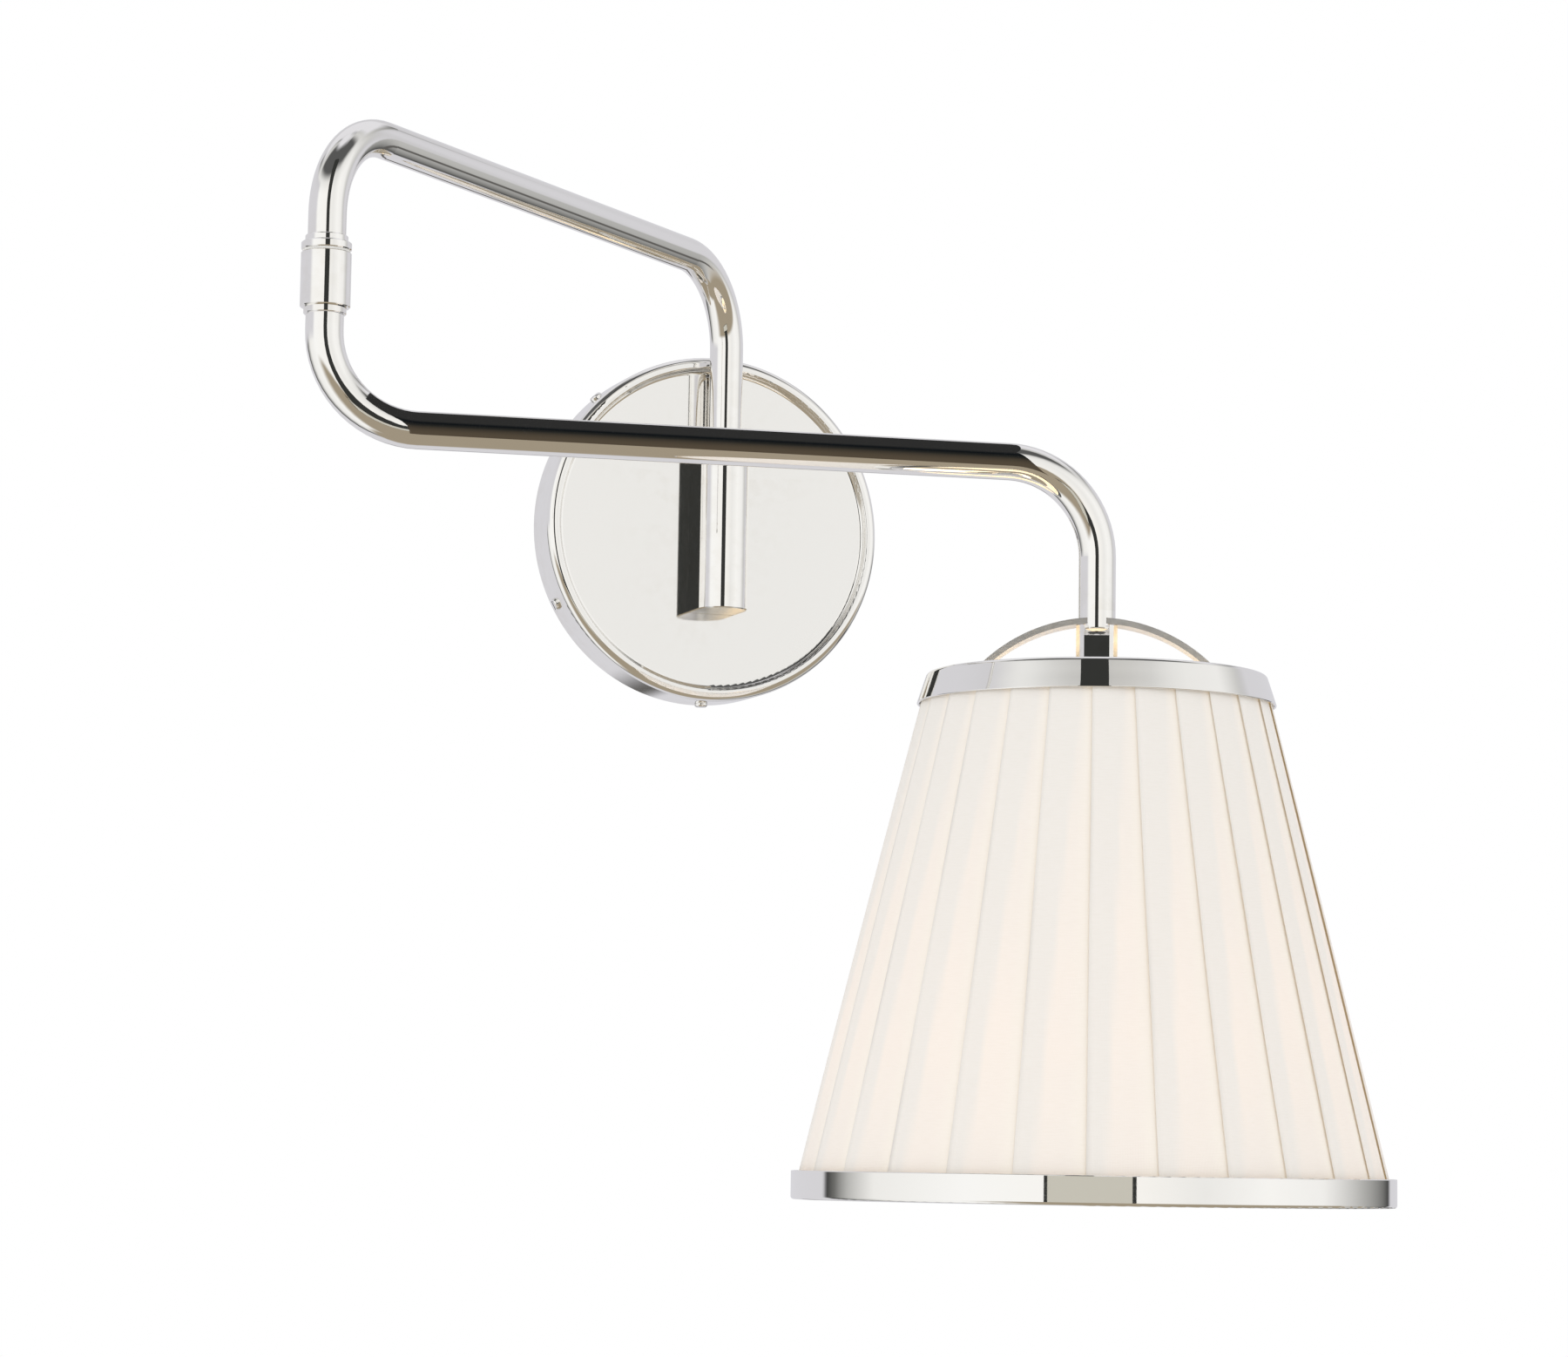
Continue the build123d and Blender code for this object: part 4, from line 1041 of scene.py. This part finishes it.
    def room(self) -> None:
        """Builds the world: plain white to the eye and soft light, with a studio for mirrors."""
        world = bpy.data.worlds.new("studio")
        world.use_nodes = True
        bpy.context.scene.world = world
        wires = Wiring(world.node_tree)
        back = world.node_tree.nodes["Background"]
        looks = wires.add("SeparateXYZ", Vector=wires.add("TexCoord").outputs["Generated"])
        x, y, z = (looks.outputs[axis] for axis in ("X", "Y", "Z"))
        turn = wires.maths("DEGREES", wires.maths("ARCTAN2", x, wires.maths("MULTIPLY", y, -1.0)))
        lift = wires.maths("DEGREES", wires.maths("ARCSINE", z))
        sideways = wires.maths("MULTIPLY", x, self.across[1])
        ahead = wires.maths("SUBTRACT", sideways, wires.maths("MULTIPLY", y, self.across[0]))
        part = wires.maths("MULTIPLY_ADD", turn, 1 / 360, 0.5)
        stops = tuple(((angle + 180) / 360, shade) for angle, shade in self.round_the_room)
        colour = wires.colours(part, stops)
        wings = wires.maths("ADD", wires.ramp(turn, -74.0, -92.0), wires.ramp(turn, 86.0, 102.0))
        high_wings = wires.maths("MULTIPLY", wings, wires.window(lift, 5.0, 36.0, 6.0))
        colour = wires.blend(high_wings, colour, self.lilac)
        colour = wires.blend(wires.ramp(lift, 26.0, 42.0, 0.0, 0.3), colour, self.dim)
        under = wires.ramp(lift, -3.0, -10.0)
        in_front = wires.maths("MULTIPLY", under, wires.window(turn, -66.0, 84.0, 30.0))
        below = wires.maths("MAXIMUM", in_front, wires.ramp(lift, -62.0, -72.0))
        colour = wires.blend(below, colour, self.planks)
        low_band = wires.window(lift, -21.0, -15.0, 3.0)
        board = wires.maths("MULTIPLY", low_band, wires.window(turn, 86.0, 175.0, 10.0))
        colour = wires.blend(board, colour, self.skirting)
        over = wires.maths("MULTIPLY", wires.ramp(lift, 38.0, 50.0), wires.ramp(lift, 86.0, 78.0))
        front_top = wires.maths("MULTIPLY", over, wires.ramp(ahead, -0.1, 0.1))
        back_top = wires.maths("MULTIPLY", over, wires.ramp(ahead, -0.1, -0.25))
        colour = wires.blend(front_top, colour, self.dusk)
        colour = wires.blend(back_top, colour, self.ceiling)
        colour = wires.blend(wires.ramp(lift, 72.0, 84.0), colour, self.ceiling)
        path = wires.add("LightPath")
        seen = wires.blend(path.outputs["Is Glossy Ray"], (0.98, 0.98, 0.99), colour)
        seen = wires.blend(path.outputs["Is Camera Ray"], seen, (1.0, 1.0, 1.0))
        wires.feed(back.inputs["Color"], seen)
        back.inputs["Strength"].default_value = 1.0

    def key_light(self) -> None:
        """Hangs one large soft light, high on the left."""
        data = bpy.data.lights.new("key", "AREA")
        data.shape, data.size, data.energy = "DISK", 1.6, 5.0
        lamp = bpy.data.objects.new("key", data)
        lamp.location = (-1.6, -2.2, 1.3)
        lamp.rotation_euler = (Vector((0.0, -0.2, -0.1)) - lamp.location).to_track_quat("-Z", "Y").to_euler()
        lamp.visible_glossy = False
        lamp.visible_camera = False
        bpy.context.collection.objects.link(lamp)

    def build(self) -> None:
        """Builds the whole set."""
        self.camera()
        self.floor()
        self.flag()
        self.window_cards()
        self.room()
        self.key_light()
        bpy.context.scene.view_settings.view_transform = "Standard"
        LOG.info("studio ready")


FINISHES: tuple[Finish, ...] = (
    PolishedMetal(Slot.NICKEL, (0.93, 0.92, 0.90), (0.80, 0.77, 0.71)),
    SpunMetal(Slot.SPUN, (0.93, 0.92, 0.90), (0.80, 0.77, 0.71)),
    PolishedMetal(Slot.BUFFED, (0.93, 0.92, 0.90), (0.80, 0.77, 0.71), 0.3, 0.42),
    SatinMetal(Slot.STEEL, (0.62, 0.63, 0.65), 0.32),
    MouldedSkin(Slot.GREEN, (0.03, 0.26, 0.08), 0.3, 0.5),
    SatinMetal(Slot.BRONZE, (0.52, 0.36, 0.19), 0.42, 0.8),
    MouldedSkin(Slot.NYLON, (0.82, 0.81, 0.77), 0.45),
    MouldedSkin(Slot.JACKET, (0.76, 0.75, 0.71), 0.5),
    LiningCard(Slot.LINING, (0.88, 0.84, 0.76), (1.0, 0.76, 0.46), 0.3),
    PleatedLinen(
        Slot.CLOTH, (0.825, 0.795, 0.745), (0.79, 0.755, 0.69), (1.0, 0.46, 0.14), 0.11, -0.190, 0.14
    ),
    GlazedBody(Slot.PORCELAIN, (0.88, 0.87, 0.84)),
    SatinMetal(Slot.BRASS, (0.80, 0.60, 0.28), 0.26),
    SatinMetal(Slot.CAP, (0.75, 0.75, 0.76), 0.28),
    FrostedBulb(Slot.GLASS, (0.95, 0.90, 0.80), 1.6, -0.179, 0.05),
)


def main() -> None:
    """Builds the studio, then dresses each sub-assembly in order."""
    logging.basicConfig(level=logging.INFO, format="%(name)s: %(message)s")
    Studio().build()
    EffectLibrary().build()
    dresser = Dresser()
    dresser.build(FINISHES)
    for make in (WallMount, UpperArm, LowerArm, PleatedShade, LampSocket):
        part = make(dresser)
        LOG.info("sub-assembly %s", make.__name__)
        part.dress()


if __name__ == "__main__":
    main()
